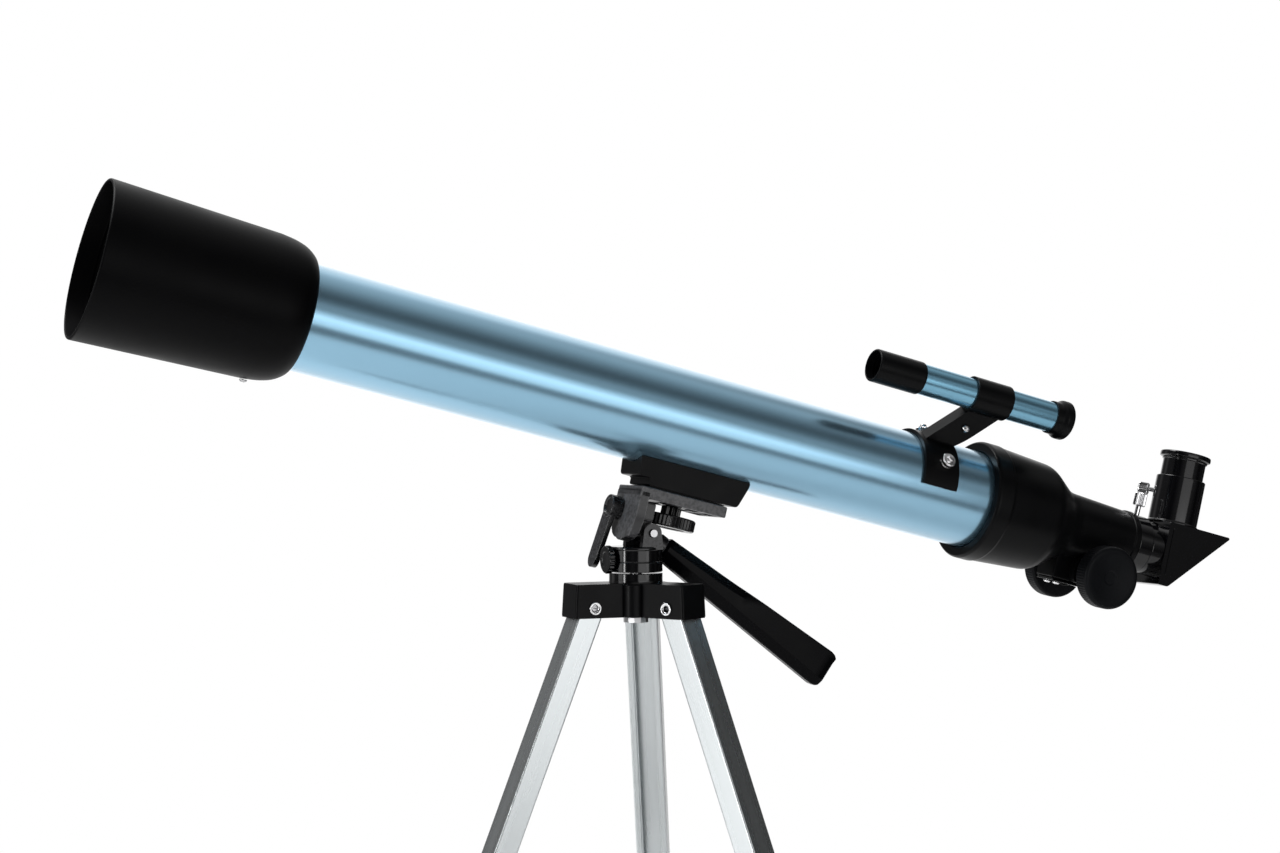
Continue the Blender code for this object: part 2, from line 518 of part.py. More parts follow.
def channel(name, half_w, half_d, lip, low, high, parent, look):
    """A leg section: a channel open towards the middle of the tripod, with lips turned in."""
    wall = LEG_WALL
    right = [(half_d, half_w), (-half_d, half_w), (-half_d, half_w - lip), (wall - half_d, half_w - lip),
             (wall - half_d, half_w - wall), (half_d - wall, half_w - wall)]
    outline = right + [(x, -y) for x, y in reversed(right)]
    return slab(name, outline, high - low, parent, at=(0, 0, (low + high) / 2), look=look)


def leg(number, azimuth):
    """One folding leg; local Z points up the leg from its rivet, local X outwards."""
    a = math.radians(azimuth)
    pivot = (PIVOT_RADIUS * math.cos(a), PIVOT_RADIUS * math.sin(a), -PIVOT_DROP)
    axis = frame(f"leg_axis_{number}", TRIPOD, pivot, (0, -SPLAY, azimuth))
    upper = channel(f"leg_upper_{number}", LEG_HALF_W, LEG_HALF_D, LEG_LIP, -225, 7, axis, ALUMINIUM)
    cut(upper, rod(f"leg_rivet_hole_{number}", 2.7, -12, 12, axis, turn=ALONG_Y, segments=12))

    clamp = box(f"leg_clamp_{number}", (-8.6, -11.2, -229), (8.6, 11.2, -205), axis, look=BLACK)
    bevel(clamp, 1.2, 2)
    hinge_x, hinge_z = 11.6, -211.0
    join(clamp, box(f"clamp_lugs_{number}", (8, -7.2, hinge_z - 4), (14.2, 7.2, hinge_z + 4), axis))
    cut(clamp, box(f"clamp_bore_{number}", (-6.4, -8.95, -235), (6.4, 8.95, -200), axis),
        box(f"lug_gap_{number}", (8.9, -4.2, hinge_z - 6), (16, 4.2, hinge_z + 6), axis),
        rod(f"clamp_pin_hole_{number}", 1.8, -10, 10, axis, at=(hinge_x, 0, hinge_z), turn=ALONG_Y, segments=12))
    lever_axis = frame(f"lever_axis_{number}", axis, (hinge_x, 0, hinge_z))
    lever = slab(f"leg_lever_{number}", arc(0, 0, 2.6, 0, 180, 6) + [(-2.4, -25), (-1.6, -28), (1.2, -27)], 7.8,
                 lever_axis, turn=SIDE_VIEW, look=BLACK)
    join(lever, rod(f"lever_pin_{number}", 1.5, -7, 7, lever_axis, turn=ALONG_Y, segments=12))

    slide = frame(f"slide_axis_{number}", axis)
    channel(f"leg_lower_{number}", LEG_HALF_W - LEG_WALL - GAP, LEG_HALF_D - LEG_WALL - GAP, 2.6, -262, -8,
            slide, ALUMINIUM)
    foot = box(f"leg_foot_{number}", (-7.4, -9.6, -300), (7.4, 9.6, -250), slide, look=RUBBER)
    bevel(foot, 1.4, 2)
    cut(foot, box(f"foot_socket_{number}", (-5.1, -7.65, -262.5), (5.1, 7.65, -245), slide),
        box(f"floor_cut_{number}", (-250, -250, -40), (250, 250, 0), FLOOR))


optical_tube()
saddle_and_plate()
focuser_body()
drawtube()
pinion_and_knobs()
diagonal_and_eyepiece()
finder()
tilt_head()
flip_lever()
handle()
pan_base()
crown()
for number, azimuth in enumerate(LEG_AZIMUTHS, 1):
    leg(number, azimuth)
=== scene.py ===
"""Looks of the small refracting telescope on its folding table tripod.

Every visible piece is built finely in its own local frame, in millimetres, and placed by the
same frames as the CAD model. Along the telescope, positions are (s, y, h) from a point on the
tube's axis: s towards the eyepiece, y across and h square to both, upwards.
"""
import math

import bmesh
import bpy
from mathutils import Euler, Matrix, Vector


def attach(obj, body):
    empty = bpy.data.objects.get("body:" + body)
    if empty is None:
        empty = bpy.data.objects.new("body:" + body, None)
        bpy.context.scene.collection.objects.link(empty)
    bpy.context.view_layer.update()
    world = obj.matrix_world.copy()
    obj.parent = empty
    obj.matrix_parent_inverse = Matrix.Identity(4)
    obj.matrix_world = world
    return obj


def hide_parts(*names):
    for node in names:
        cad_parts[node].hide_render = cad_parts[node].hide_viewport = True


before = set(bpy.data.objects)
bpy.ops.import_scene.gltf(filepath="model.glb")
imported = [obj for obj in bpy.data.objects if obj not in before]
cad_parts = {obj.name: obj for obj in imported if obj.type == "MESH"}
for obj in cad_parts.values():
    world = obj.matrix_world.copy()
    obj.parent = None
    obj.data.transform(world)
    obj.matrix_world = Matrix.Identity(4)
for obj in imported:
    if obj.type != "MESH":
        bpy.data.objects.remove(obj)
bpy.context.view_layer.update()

MM = 0.001

# ---- the CAD model's main dimensions, in mm and degrees ----------------------------------
ELEVATION = 13.938
TUBE_R, TUBE_WALL, TUBE_FRONT, TUBE_BACK = 27.0, 1.0, -192.0, 207.0
SHIELD_FRONT, SHIELD_R, SHIELD_BACK, SHIELD_STEP = -292.0, 39.5, -187.0, -204.0
LENS_R = 25.2
FOCUSER_ROLL = 3.5
NECK_END = 310.0
DRAWTUBE_R, DRAWTUBE_BORE = 15.0, 12.6
PINION_S, PINION_H = 287.0, -23.0
KNOB_R = 17.5
DIAGONAL_TOP, DIAGONAL_TIP = 16.5, 371.0
EYEPIECE_S, EYEPIECE_TOP = 341.0, 58.7
FINDER_LEAN, FINDER_RHO, FINDER_R = 26.0, 59.0, 8.3
TILT_S, TILT_H, TILT_FROM_PAN, TILT_DROP = 17.07, -61.71, 4.0, 64.0
FLIP_Y, FLIP_H = 8.0, -52.0
HANDLE_SLOPE = 35.8
PAN_R, PAN_TOP, PAN_SPLIT, COLLAR_BASE = 14.0, -71.0, -84.5, -89.7
LEG_AZIMUTHS = (60.0, 180.0, 300.0)
SPLAY, LEG_LENGTH, PIVOT_RADIUS, PIVOT_DROP = 21.4, 290.0, 27.0, 102.0
CROWN_R, CROWN_ARM_HALF, CROWN_HEIGHT = 37.8, 10.2, 17.4
LEG_HALF_W, LEG_HALF_D, LEG_WALL, LEG_LIP = 8.65, 6.1, 1.0, 3.2
UPPER_TOP, UPPER_END, INNER_TOP, INNER_END = 7, -225, -8, -262      # along the leg, from its rivet
CLAMP_TOP, CLAMP_END, LEVER_X, LEVER_Z = -205, -229, 11.6, -211
MOUNT_S = 30.0

SIN, COS = math.sin(math.radians(ELEVATION)), math.cos(math.radians(ELEVATION))
REF_Z = PIVOT_DROP + LEG_LENGTH * math.cos(math.radians(SPLAY))
FRONT_X = SHIELD_FRONT * COS - SHIELD_R * SIN
BACK_X = DIAGONAL_TIP * COS + DIAGONAL_TOP * SIN
REF_X = -(FRONT_X + BACK_X) / 2
PAN_X = REF_X + TILT_S * COS + TILT_H * SIN - TILT_FROM_PAN


def move(x=0.0, y=0.0, z=0.0):
    return Matrix.Translation((x * MM, y * MM, z * MM))


def turn(x=0.0, y=0.0, z=0.0):
    return Euler([math.radians(a) for a in (x, y, z)]).to_matrix().to_4x4()


ALONG_S, ALONG_Y = turn(0, 90), turn(-90)
SIDE_VIEW, FRONT_VIEW = turn(90), turn(90, 0, 90)     # outlines drawn in (s, h) and (y, h)
TRIPOD = move(PAN_X, 0, REF_Z)
PAN = TRIPOD @ move(z=PAN_SPLIT)
TILT = PAN @ move(TILT_FROM_PAN, 0, -TILT_DROP - PAN_SPLIT) @ turn(0, ELEVATION)
FLIP = TILT @ move(-TILT_S, FLIP_Y, FLIP_H - TILT_H)
TUBE = FLIP @ move(0, -FLIP_Y, -FLIP_H)
HANDLE = TILT @ turn(0, HANDLE_SLOPE - ELEVATION)
FOCUSER = TUBE @ turn(FOCUSER_ROLL)
PINION = FOCUSER @ move(PINION_S, 0, PINION_H)
EYEPIECE = TUBE @ move(EYEPIECE_S)
FINDER = TUBE @ turn(FINDER_LEAN)
FINDER_AXIS = FINDER @ move(0, 0, FINDER_RHO)


# ---- materials ----------------------------------------------------------------------------

def material(name, colour, roughness, metallic=0.0, mottle=0.12, mottle_mm=14.0, grain_mm=0.5,
             bump=0.02, stretch=(1, 1, 1), coat=0.0, coat_roughness=0.1, wear=None, rough_vary=0.12,
             specular=0.5):
    """Moulded, painted or brushed surface: soft colour mottling, a fine grain and uneven gloss."""
    mat = bpy.data.materials.new(name)
    mat.use_nodes = True
    nodes, links = mat.node_tree.nodes, mat.node_tree.links
    shader = nodes["Principled BSDF"]
    shader.inputs["Metallic"].default_value = metallic
    shader.inputs["Coat Weight"].default_value = coat
    shader.inputs["Coat Roughness"].default_value = coat_roughness
    shader.inputs["Specular IOR Level"].default_value = specular
    where = nodes.new("ShaderNodeTexCoord")
    scaled = nodes.new("ShaderNodeMapping")
    scaled.inputs["Scale"].default_value = stretch
    links.new(where.outputs["Object"], scaled.inputs["Vector"])

    def noise(size_mm, detail):
        node = nodes.new("ShaderNodeTexNoise")
        node.inputs["Scale"].default_value = 1 / (size_mm * MM)
        node.inputs["Detail"].default_value = detail
        links.new(scaled.outputs["Vector"], node.inputs["Vector"])
        return node.outputs["Fac"]

    def spread(source, low, high, start=0.3, end=0.7):
        node = nodes.new("ShaderNodeMapRange")
        node.inputs["From Min"].default_value = start
        node.inputs["From Max"].default_value = end
        node.inputs["To Min"].default_value = low
        node.inputs["To Max"].default_value = high
        links.new(source, node.inputs["Value"])
        return node.outputs["Result"]

    def mix(fac, a, b):
        node = nodes.new("ShaderNodeMix")
        node.data_type = "RGBA"
        links.new(fac, node.inputs["Factor"])
        for socket, value in ((node.inputs["A"], a), (node.inputs["B"], b)):
            if isinstance(value, tuple):
                socket.default_value = (*value, 1)
            else:
                links.new(value, socket)
        return node.outputs["Result"]

    broad, fine = noise(mottle_mm, 3), noise(grain_mm, 2)
    dark = tuple(c * (1 - mottle) for c in colour)
    light = tuple(min(1, c * (1 + mottle)) for c in colour)
    tone = mix(spread(broad, 0, 1), dark, light)
    if wear:
        shade, amount = wear
        edges = nodes.new("ShaderNodeNewGeometry").outputs["Pointiness"]
        broken = nodes.new("ShaderNodeMath")
        broken.operation = "MULTIPLY"
        links.new(spread(edges, 0, amount, 0.505, 0.56), broken.inputs[0])
        links.new(spread(noise(1.6, 3), 0.2, 1.0, 0.35, 0.6), broken.inputs[1])
        tone = mix(broken.outputs["Value"], tone, shade)
    links.new(tone, shader.inputs["Base Color"])
    links.new(spread(broad, roughness * (1 - rough_vary), roughness * (1 + rough_vary)),
              shader.inputs["Roughness"])
    if bump:
        raised = nodes.new("ShaderNodeBump")
        raised.inputs["Strength"].default_value = 0.6
        raised.inputs["Distance"].default_value = bump * MM
        links.new(fine, raised.inputs["Height"])
        links.new(raised.outputs["Normal"], shader.inputs["Normal"])
    return mat


def glass(name, tint, ior=1.52):
    """Coated lens glass, tinted a little by the coating and with faint dust."""
    mat = material(name, tint, 0.03, mottle=0.03, bump=0.0, rough_vary=0.5, mottle_mm=5)
    shader = mat.node_tree.nodes["Principled BSDF"]
    shader.inputs["Transmission Weight"].default_value = 0.85
    shader.inputs["IOR"].default_value = ior
    shader.inputs["Coat Weight"].default_value = 0.4
    return mat


LOOKS = {
    "paint": material("tube_paint", (0.272, 0.50, 0.665), 0.23, 0.92, mottle=0.012, mottle_mm=45,
                      grain_mm=0.2, bump=0.001, rough_vary=0.03, coat=0.9, coat_roughness=0.22),
    "finder_paint": material("finder_paint", (0.22, 0.46, 0.62), 0.23, 0.92, mottle=0.012, mottle_mm=20,
                             grain_mm=0.2, bump=0.001, rough_vary=0.03),
    "satin": material("satin_black_plastic", (0.0025, 0.0026, 0.0030), 0.34, grain_mm=0.35, bump=0.004,
                      specular=0.10),
    "shield": material("shield_black_plastic", (0.0015, 0.0015, 0.0018), 0.42, grain_mm=0.30, bump=0.004,
                       mottle_mm=30, specular=0.06),
    "inner": material("baffle_black", (0.002, 0.002, 0.0022), 0.5, grain_mm=0.30, bump=0.01, specular=0.15),
    "gloss": material("gloss_black_plastic", (0.0012, 0.0012, 0.0018), 0.11, grain_mm=0.9, bump=0.0015),
    "head": material("worn_black_plastic", (0.004, 0.004, 0.0045), 0.24, grain_mm=0.5, bump=0.004,
                     specular=0.45, wear=((0.10, 0.10, 0.11), 0.3)),
    "plate": material("scuffed_plate_plastic", (0.022, 0.022, 0.024), 0.33, grain_mm=0.8, bump=0.004,
                      mottle=0.15, mottle_mm=9, wear=((0.22, 0.22, 0.23), 0.5)),
    "blade": material("handle_plastic", (0.0012, 0.0012, 0.0018), 0.25, grain_mm=0.6, bump=0.003,
                      specular=0.07),
    "rubber": material("knob_rubber", (0.0045, 0.0050, 0.0062), 0.45, grain_mm=0.25, bump=0.006,
                       mottle_mm=9, specular=0.10),
    "tread": material("foot_rubber", (0.010, 0.0105, 0.012), 0.7, grain_mm=0.4, bump=0.03, mottle_mm=6),
    "chrome": material("bright_plating", (0.80, 0.80, 0.81), 0.12, 1.0, mottle=0.05, grain_mm=0.4,
                       bump=0.002, mottle_mm=3),
    "steel": material("turned_steel", (0.52, 0.52, 0.53), 0.30, 1.0, grain_mm=0.3, bump=0.004,
                      stretch=(1, 1, 6)),
    "alloy": material("brushed_aluminium", (0.60, 0.63, 0.64), 0.28, 0.97, mottle=0.05, mottle_mm=7,
                      grain_mm=0.16, bump=0.004, stretch=(1, 1, 0.02)),
    "lens": glass("lens_glass", (0.80, 0.90, 0.95)),
}


# ---- mesh helpers -------------------------------------------------------------------------

def soften(points, radius, closed=True, steps=4):
    """Round the corners of an outline; a point's third number overrides the radius."""
    result, last = [], len(points) - 1
    for i, point in enumerate(points):
        corner = Vector(point[:2])
        reach = point[2] if len(point) > 2 else radius
        if reach == 0 or (not closed and i in (0, last)):
            result.append(corner)
            continue
        back = Vector(points[i - 1][:2]) - corner
        ahead = Vector(points[(i + 1) % len(points)][:2]) - corner
        if back.length < 1e-6 or ahead.length < 1e-6 or back.angle(ahead) > math.radians(172):
            result.append(corner)
            continue
        start = corner + back.normalized() * min(reach, back.length * 0.45)
        end = corner + ahead.normalized() * min(reach, ahead.length * 0.45)
        for k in range(steps + 1):
            t = k / steps
            result.append(start * (1 - t) ** 2 + corner * 2 * t * (1 - t) + end * t * t)
    return result


def loft(rings, capped=True, looped=False):
    """Skin a list of rings of points; a ring of one point is a tip."""
    bm = bmesh.new()
    made = [[bm.verts.new(p) for p in ring] for ring in rings]
    pairs = list(zip(made, made[1:])) + ([(made[-1], made[0])] if looped else [])
    for a, b in pairs:
        count = max(len(a), len(b))
        for k in range(count):
            n = (k + 1) % count
            corners = [a[k % len(a)], a[n % len(a)], b[n % len(b)], b[k % len(b)]]
            corners = [v for i, v in enumerate(corners) if v not in corners[:i]]
            if len(corners) > 2:
                bm.faces.new(corners)
    if capped and not looped:
        for ring in (made[0], made[-1]):
            if len(ring) > 2:
                bm.faces.new(ring)
    return bm


def lathe(profile, segments=96, radius=0.3, steps=3, flutes=()):
    """Turn (radius, height) points about Z. A flute is (count, depth, low, high, inner radius)."""
    hollow = profile[0][0] > 0
    rings = []
    for r, z in soften(profile, radius, hollow, steps):
        if r < 1e-5:
            rings.append([(0, 0, z)])
            continue
        ring = []
        for k in range(segments):
            a = 2 * math.pi * k / segments
            sunk = sum(depth * (0.5 - 0.5 * math.cos(count * a))
                       for count, depth, low, high, inner in flutes if low < z < high and r > inner)
            ring.append(((r - sunk) * math.cos(a), (r - sunk) * math.sin(a), z))
        rings.append(ring)
    return loft(rings, capped=False, looped=hollow)


def extrude(outline, thickness, corner=0.8, edge=0.6, top_scale=1.0):
    """A plate from an (x, y) outline with its corners and both rims rounded."""
    points = soften(outline, corner)
    rings = [[(p.x * k, p.y * k, z) for p in points]
             for z, k in ((-thickness / 2, 1.0), (thickness / 2, top_scale))]
    bm = loft(rings)
    if edge:
        rims = [e for e in bm.edges if abs(e.verts[0].co.z - e.verts[1].co.z) < 1e-6]
        bmesh.ops.bevel(bm, geom=rims, offset=edge, segments=3, profile=0.6, affect="EDGES",
                        clamp_overlap=True)
    return bm


def block(low, high, edge=0.8):
    """A box between two corners, with its edges rounded; as a cutter it has edge 0."""
    bm = bmesh.new()
    bmesh.ops.create_cube(bm, size=1)
    bmesh.ops.scale(bm, vec=[b - a for a, b in zip(low, high)], verts=bm.verts)
    bmesh.ops.translate(bm, vec=[(a + b) / 2 for a, b in zip(low, high)], verts=bm.verts)
    if edge:
        bmesh.ops.bevel(bm, geom=bm.edges, offset=edge, segments=3, profile=0.6, affect="EDGES",
                        clamp_overlap=True)
    return bm


def cylinder(radius, low, high, segments=48):
    """A plain cutter about Z."""
    return lathe([(0, high), (radius, high), (radius, low), (0, low)], segments, radius=0)


def arc(x, y, radius, start, end, steps):
    """Points of a circular arc between two angles in degrees, which soften() leaves as they are."""
    angles = [math.radians(start + (end - start) * i / steps) for i in range(steps + 1)]
    return [(x + radius * math.cos(a), y + radius * math.sin(a), 0) for a in angles]


def to_object(name, bm, where, scale=MM):
    """Turn a bmesh, in millimetres unless scale says otherwise, into an object placed at where."""
    bmesh.ops.scale(bm, vec=(scale,) * 3, verts=bm.verts)
    bmesh.ops.recalc_face_normals(bm, faces=bm.faces)
    mesh = bpy.data.meshes.new(name)
    bm.to_mesh(mesh)
    bm.free()
    obj = bpy.data.objects.new(name, mesh)
    bpy.context.scene.collection.objects.link(obj)
    obj.matrix_world = where
    return obj


def carve(obj, *cutters):
    """Cut closed shapes, given as (bmesh, matrix), out of obj for good."""
    for bm, where in cutters:
        tool = to_object("cutter", bm.copy(), where)
        modifier = obj.modifiers.new("cut", "BOOLEAN")
        modifier.operation = "DIFFERENCE"
        modifier.object = tool
        bpy.context.view_layer.update()
        mesh = bpy.data.meshes.new_from_object(obj.evaluated_get(bpy.context.evaluated_depsgraph_get()))
        obj.modifiers.clear()
        obj.data = mesh
        bpy.data.objects.remove(tool)


def piece(name, bm, where, look, body, nodes, cutters=(), sharp=34):
    """A finished visible piece: placed, shaded, given its material and tied to its CAD body."""
    obj = to_object(name, bm, where)
    carve(obj, *cutters)
    mesh = obj.data
    mesh.name = name
    mesh.shade_smooth()
    mesh.set_sharp_from_angle(angle=math.radians(sharp))
    mesh.materials.clear()
    mesh.materials.append(LOOKS[look])
    weighted = obj.modifiers.new("normals", "WEIGHTED_NORMAL")
    weighted.keep_sharp = True
    bpy.context.view_layer.update()
    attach(obj, body)
    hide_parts(*([nodes] if isinstance(nodes, str) else nodes))
    return obj


def cross_recess(size, depth, top):
    """Cutters for a cross-head screw whose head's top is at height top."""
    return [block((-a, -b, top - depth), (a, b, top + 1), 0) for a, b in ((size, 0.32), (0.32, size))]


def screw_head(name, where, radius, low, high, body, look):
    """A domed cross-head screw about Z, from height low to high."""
    crown = high - (high - low) * 0.45
    profile = [(0, high), (radius * 0.45, high - 0.08), (radius * 0.85, crown + 0.15), (radius, crown - 0.25),
               (radius, low), (0, low)]
    recess = [(bm, where) for bm in cross_recess(radius * 0.55, (high - low) * 0.45, high)]
    return piece(name + "_visual", lathe(profile, 40, 0.15), where, look, body, name, recess)


def knurled_screw(name, where, tip, neck, top, body):
    """A small plated thumbscrew about Z: its shank from tip to neck and its knurled head up to top."""
    profile = [(0, top), (2.9, top), (3.5, top - 0.6), (3.5, neck + 0.6), (2.9, neck), (1.5, neck),
               (1.5, tip), (0, tip)]
    piece(name + "_visual", lathe(profile, 144, 0.25, flutes=[(24, 0.35, neck + 0.3, top - 0.3, 3.0)]),
          where, "chrome", body, name)


# ---- optical tube -------------------------------------------------------------------------

def optical_tube():
    along = TUBE @ ALONG_S
    inner_r = TUBE_R - TUBE_WALL
    skin = [(TUBE_R, TUBE_BACK), (TUBE_R, TUBE_FRONT), (inner_r, TUBE_FRONT), (inner_r, TUBE_BACK)]
    piece("tube_skin", lathe(skin, 192, 0.2), along, "paint", "telescope", "main_tube")
    bore, rim = TUBE_R + 0.3, SHIELD_R - 1.4
    inside = []
    first, last, pitch = SHIELD_FRONT + 9, SHIELD_STEP - 8, 2.2
    for k in range(int((last - first) / pitch)):
        s = first + k * pitch
        r = rim - (rim - 35.1) * (s - SHIELD_FRONT) / (SHIELD_STEP - SHIELD_FRONT)
        inside += [(r, s, 0), (r - 0.18, s + 0.5, 0), (r - 0.18, s + 1.1, 0), (r, s + 1.6, 0)]
    profile = [(28.2, SHIELD_BACK, 0.6), (30.6, -188.3, 2), (33.9, -193.0, 4), (35.7, -199.5, 4),
               (36.5, -206.5, 3), (SHIELD_R, SHIELD_FRONT + 0.6, 0.5), (SHIELD_R - 0.4, SHIELD_FRONT, 0.4),
               (rim, SHIELD_FRONT, 0.5)]
    profile += inside + [(35.1, SHIELD_STEP), (bore, SHIELD_STEP), (bore, SHIELD_BACK, 0.3)]
    piece("dew_shield_shell", lathe(profile, 160, 0.3, 4), along, "shield", "telescope", "dew_shield",
          sharp=40)
    cell = [(25.6, -188.5), (25.6, -204.3), (34.5, -204.3), (34.5, -209.5), (31.5, -209.5), (31.0, -208.9),
            (28.6, -208.9), (28.2, -209.5), (LENS_R + 0.3, -209.5), (LENS_R + 0.3, -203.6), (23.6, -203.6),
            (23.6, -188.5)]
    piece("lens_cell", lathe(cell, 128, 0.25), along, "inner", "telescope", "objective_cell")
    dome = [(LENS_R * k / 20, -208.6 - 2.4 * (1 - (k / 20) ** 2), 0) for k in range(20, -1, -1)]
    piece("objective_glass", lathe([(0, -204.0), (LENS_R, -204.0)] + dome, 128, 0), along, "lens",
          "telescope", "objective_lens")
    screw_head("shield_screw", TUBE @ move(-206.5) @ turn(180), 1.9, 36.95, 38.3, "telescope", "steel")


def saddle_and_plate():
    outline = [(1.4, -21), (2.7, -34, 1.2), (9, -34, 0.6), (9, -38, 0.8), (60.8, -38, 1.4), (65.3, -26, 1.5),
               (65.3, -21)]
    piece("saddle_block", extrude(outline, 26, 1.0, 1.1), TUBE @ SIDE_VIEW, "satin", "telescope", "saddle",
          [(cylinder(TUBE_R + 0.3, -10, 80, 160), TUBE @ ALONG_S),
                          (cylinder(3.5, -40, -33), TUBE @ move(MOUNT_S))])
    pockets = [(block((x0, y0, -47), (x1, y1, -42.4), 0.5), TUBE)
               for x0, x1 in ((18, 27.2), (33, 42), (43.6, 51.6)) for y0, y1 in ((-13, -0.8), (0.8, 13))]
    pockets.append((cylinder(3.5, -50, -35), TUBE @ move(MOUNT_S)))
    piece("platform_plate", block((4.6, -15.5, -45), (54.4, 15.5, -39.2), 0.9), TUBE, "plate", "telescope",
          "camera_platform", pockets)
    boss = lathe([(7.2, -42.2), (7.2, -45.0), (3.6, -45.0), (3.6, -42.2)], 64, 0.4)
    piece("platform_boss", boss, TUBE @ move(MOUNT_S), "plate", "telescope", "camera_platform")
    flange = [(-15.5, -41), (-15.5, -56, 3), (-11.5, -66, 3)] + arc(0, -60, 8.4, 230, 310, 10)
    flange += [(11.5, -66, 3), (15.5, -56, 3), (15.5, -41)]
    piece("platform_flange", extrude(flange, 5, 1.0, 0.9), TUBE @ move(7.1) @ FRONT_VIEW, "plate",
          "telescope", "camera_platform", [(cylinder(2.6, 0, 12), FLIP @ ALONG_S)])
    wheel = [(0, -31), (2.7, -31), (3.1, -31.6), (3.1, -45.3), (5.4, -45.3), (5.4, -50), (13.3, -50),
             (14, -50.7), (14, -55.8), (13.3, -56.4), (9.5, -56.4), (8.8, -55.8), (0, -55.8)]
    grips = [(40, 0.5, -55.7, -50.8, 13.2), (10, 1.1, -49.9, -45.4, 5)]
    piece("mount_wheel", lathe(wheel, 240, 0.35, flutes=grips), TUBE @ move(MOUNT_S), "head", "mount_screw",
          "camera_screw")


# ---- focuser, diagonal and eyepiece -------------------------------------------------------

def focuser():
    along = FOCUSER @ ALONG_S
    bore = [(cylinder(DRAWTUBE_R + 0.4, 255, 315, 96), along)]
    slot = [(block((250, -2.2, -20.3), (312, 2.2, -12), 0), FOCUSER)]
    profile = [(17.7, NECK_END, 0.3), (17.7, 306.9, 0.3), (17.0, 306.4, 0.3), (19.0, 268.0, 2),
               (20.4, 263.0, 3), (29.4, 249.3, 3), (30.4, 246.0, 1.5), (32.5, 214.0, 0.8),
               (33.0, 213.0, 0.4), (33.0, 204.8, 0.7), (32.0, 203.2, 0.7), (28.0, 203.2), (27.3, 203.9),
               (27.3, 207.4), (26.0, 207.4), (26.0, 244.0), (16.4, 262.0), (15.4, 264.0), (15.4, NECK_END)]
    piece("focuser_barrel", lathe(profile, 160, 0.3, 5), along, "satin", "telescope", "focuser_body",
          slot, sharp=40)
    pinion_pocket = [(block((281.6, -2.2, -31), (292.4, 2.2, -19), 0), FOCUSER)]
    piece("focuser_housing", block((264, -8.5, -30), (300, 8.5, -13), 1.3), FOCUSER, "satin", "telescope",
          "focuser_body", bore + slot + pinion_pocket)
    dee = arc(0, 0, 13, -32.5, 212.5, 48)
    clear = [(block((-5.4, -2.2, -8), (5.4, 2.2, 5), 0), PINION),
             (cylinder(2.3, -16, 16), PINION @ ALONG_Y)]
    piece("pinion_boss", extrude(dee, 27, 0, 1.2), PINION @ SIDE_VIEW, "satin", "telescope", "focuser_body",
          bore + slot + clear, sharp=40)
    for side, facing in (("near", turn(90)), ("far", turn(-90))):
        lip = lathe([(9.6, 13.2), (9.6, 14.3), (8.0, 14.3), (8.0, 13.2)], 96, 0.4)
        piece(f"boss_lip_{side}", lip, PINION @ facing, "satin", "telescope", "focuser_body")
        grip = [(0, 30.2), (3.6, 30.2, 0.3), (4.2, 30.6, 0.6), (8.2, 30.9, 1), (13.9, 32.0, 1.2),
                (16.2, 32.0, 0.8), (KNOB_R, 30.7, 0.9), (KNOB_R, 22.6, 0.8), (16.6, 21.4, 0.8), (7.0, 21.0),
                (6.0, 18.5), (2.3, 18.5), (2.3, 29.4), (0, 29.4)]
        piece(f"focus_knob_{side}_grip", lathe(grip, 288, 0.4, 4, [(72, 0.22, 23.2, 30.2, 17.2)]),
              PINION @ facing, "rubber", "focus_pinion", f"focus_knob_{side}")
    piece("housing_cover", block((265, -8, -31.8), (299, 8, -30.3), 0.5), FOCUSER, "gloss", "telescope",
          "pinion_cover")
    for side, y in (("near", -4.6), ("far", 4.6)):
        screw_head(f"cover_screw_{side}", FOCUSER @ move(270, y, 0) @ turn(180), 2.1, 32.1, 33.4, "telescope",
                   "chrome")

    tube = [(16.8, 319.5, 0.5), (16.8, 310.7, 0.5), (DRAWTUBE_R, 310.5), (DRAWTUBE_R, 221),
            (DRAWTUBE_BORE, 221), (DRAWTUBE_BORE, 319.5)]
    piece("drawtube_barrel", lathe(tube, 128, 0.3), along, "gloss", "focus_tube", "drawtube",
          [(cylinder(1.9, 11, 18), FOCUSER @ move(315))])
    knurled_screw("drawtube_screw", FOCUSER @ move(315), 13.0, 22.0, 30.0, "focus_tube_screw")


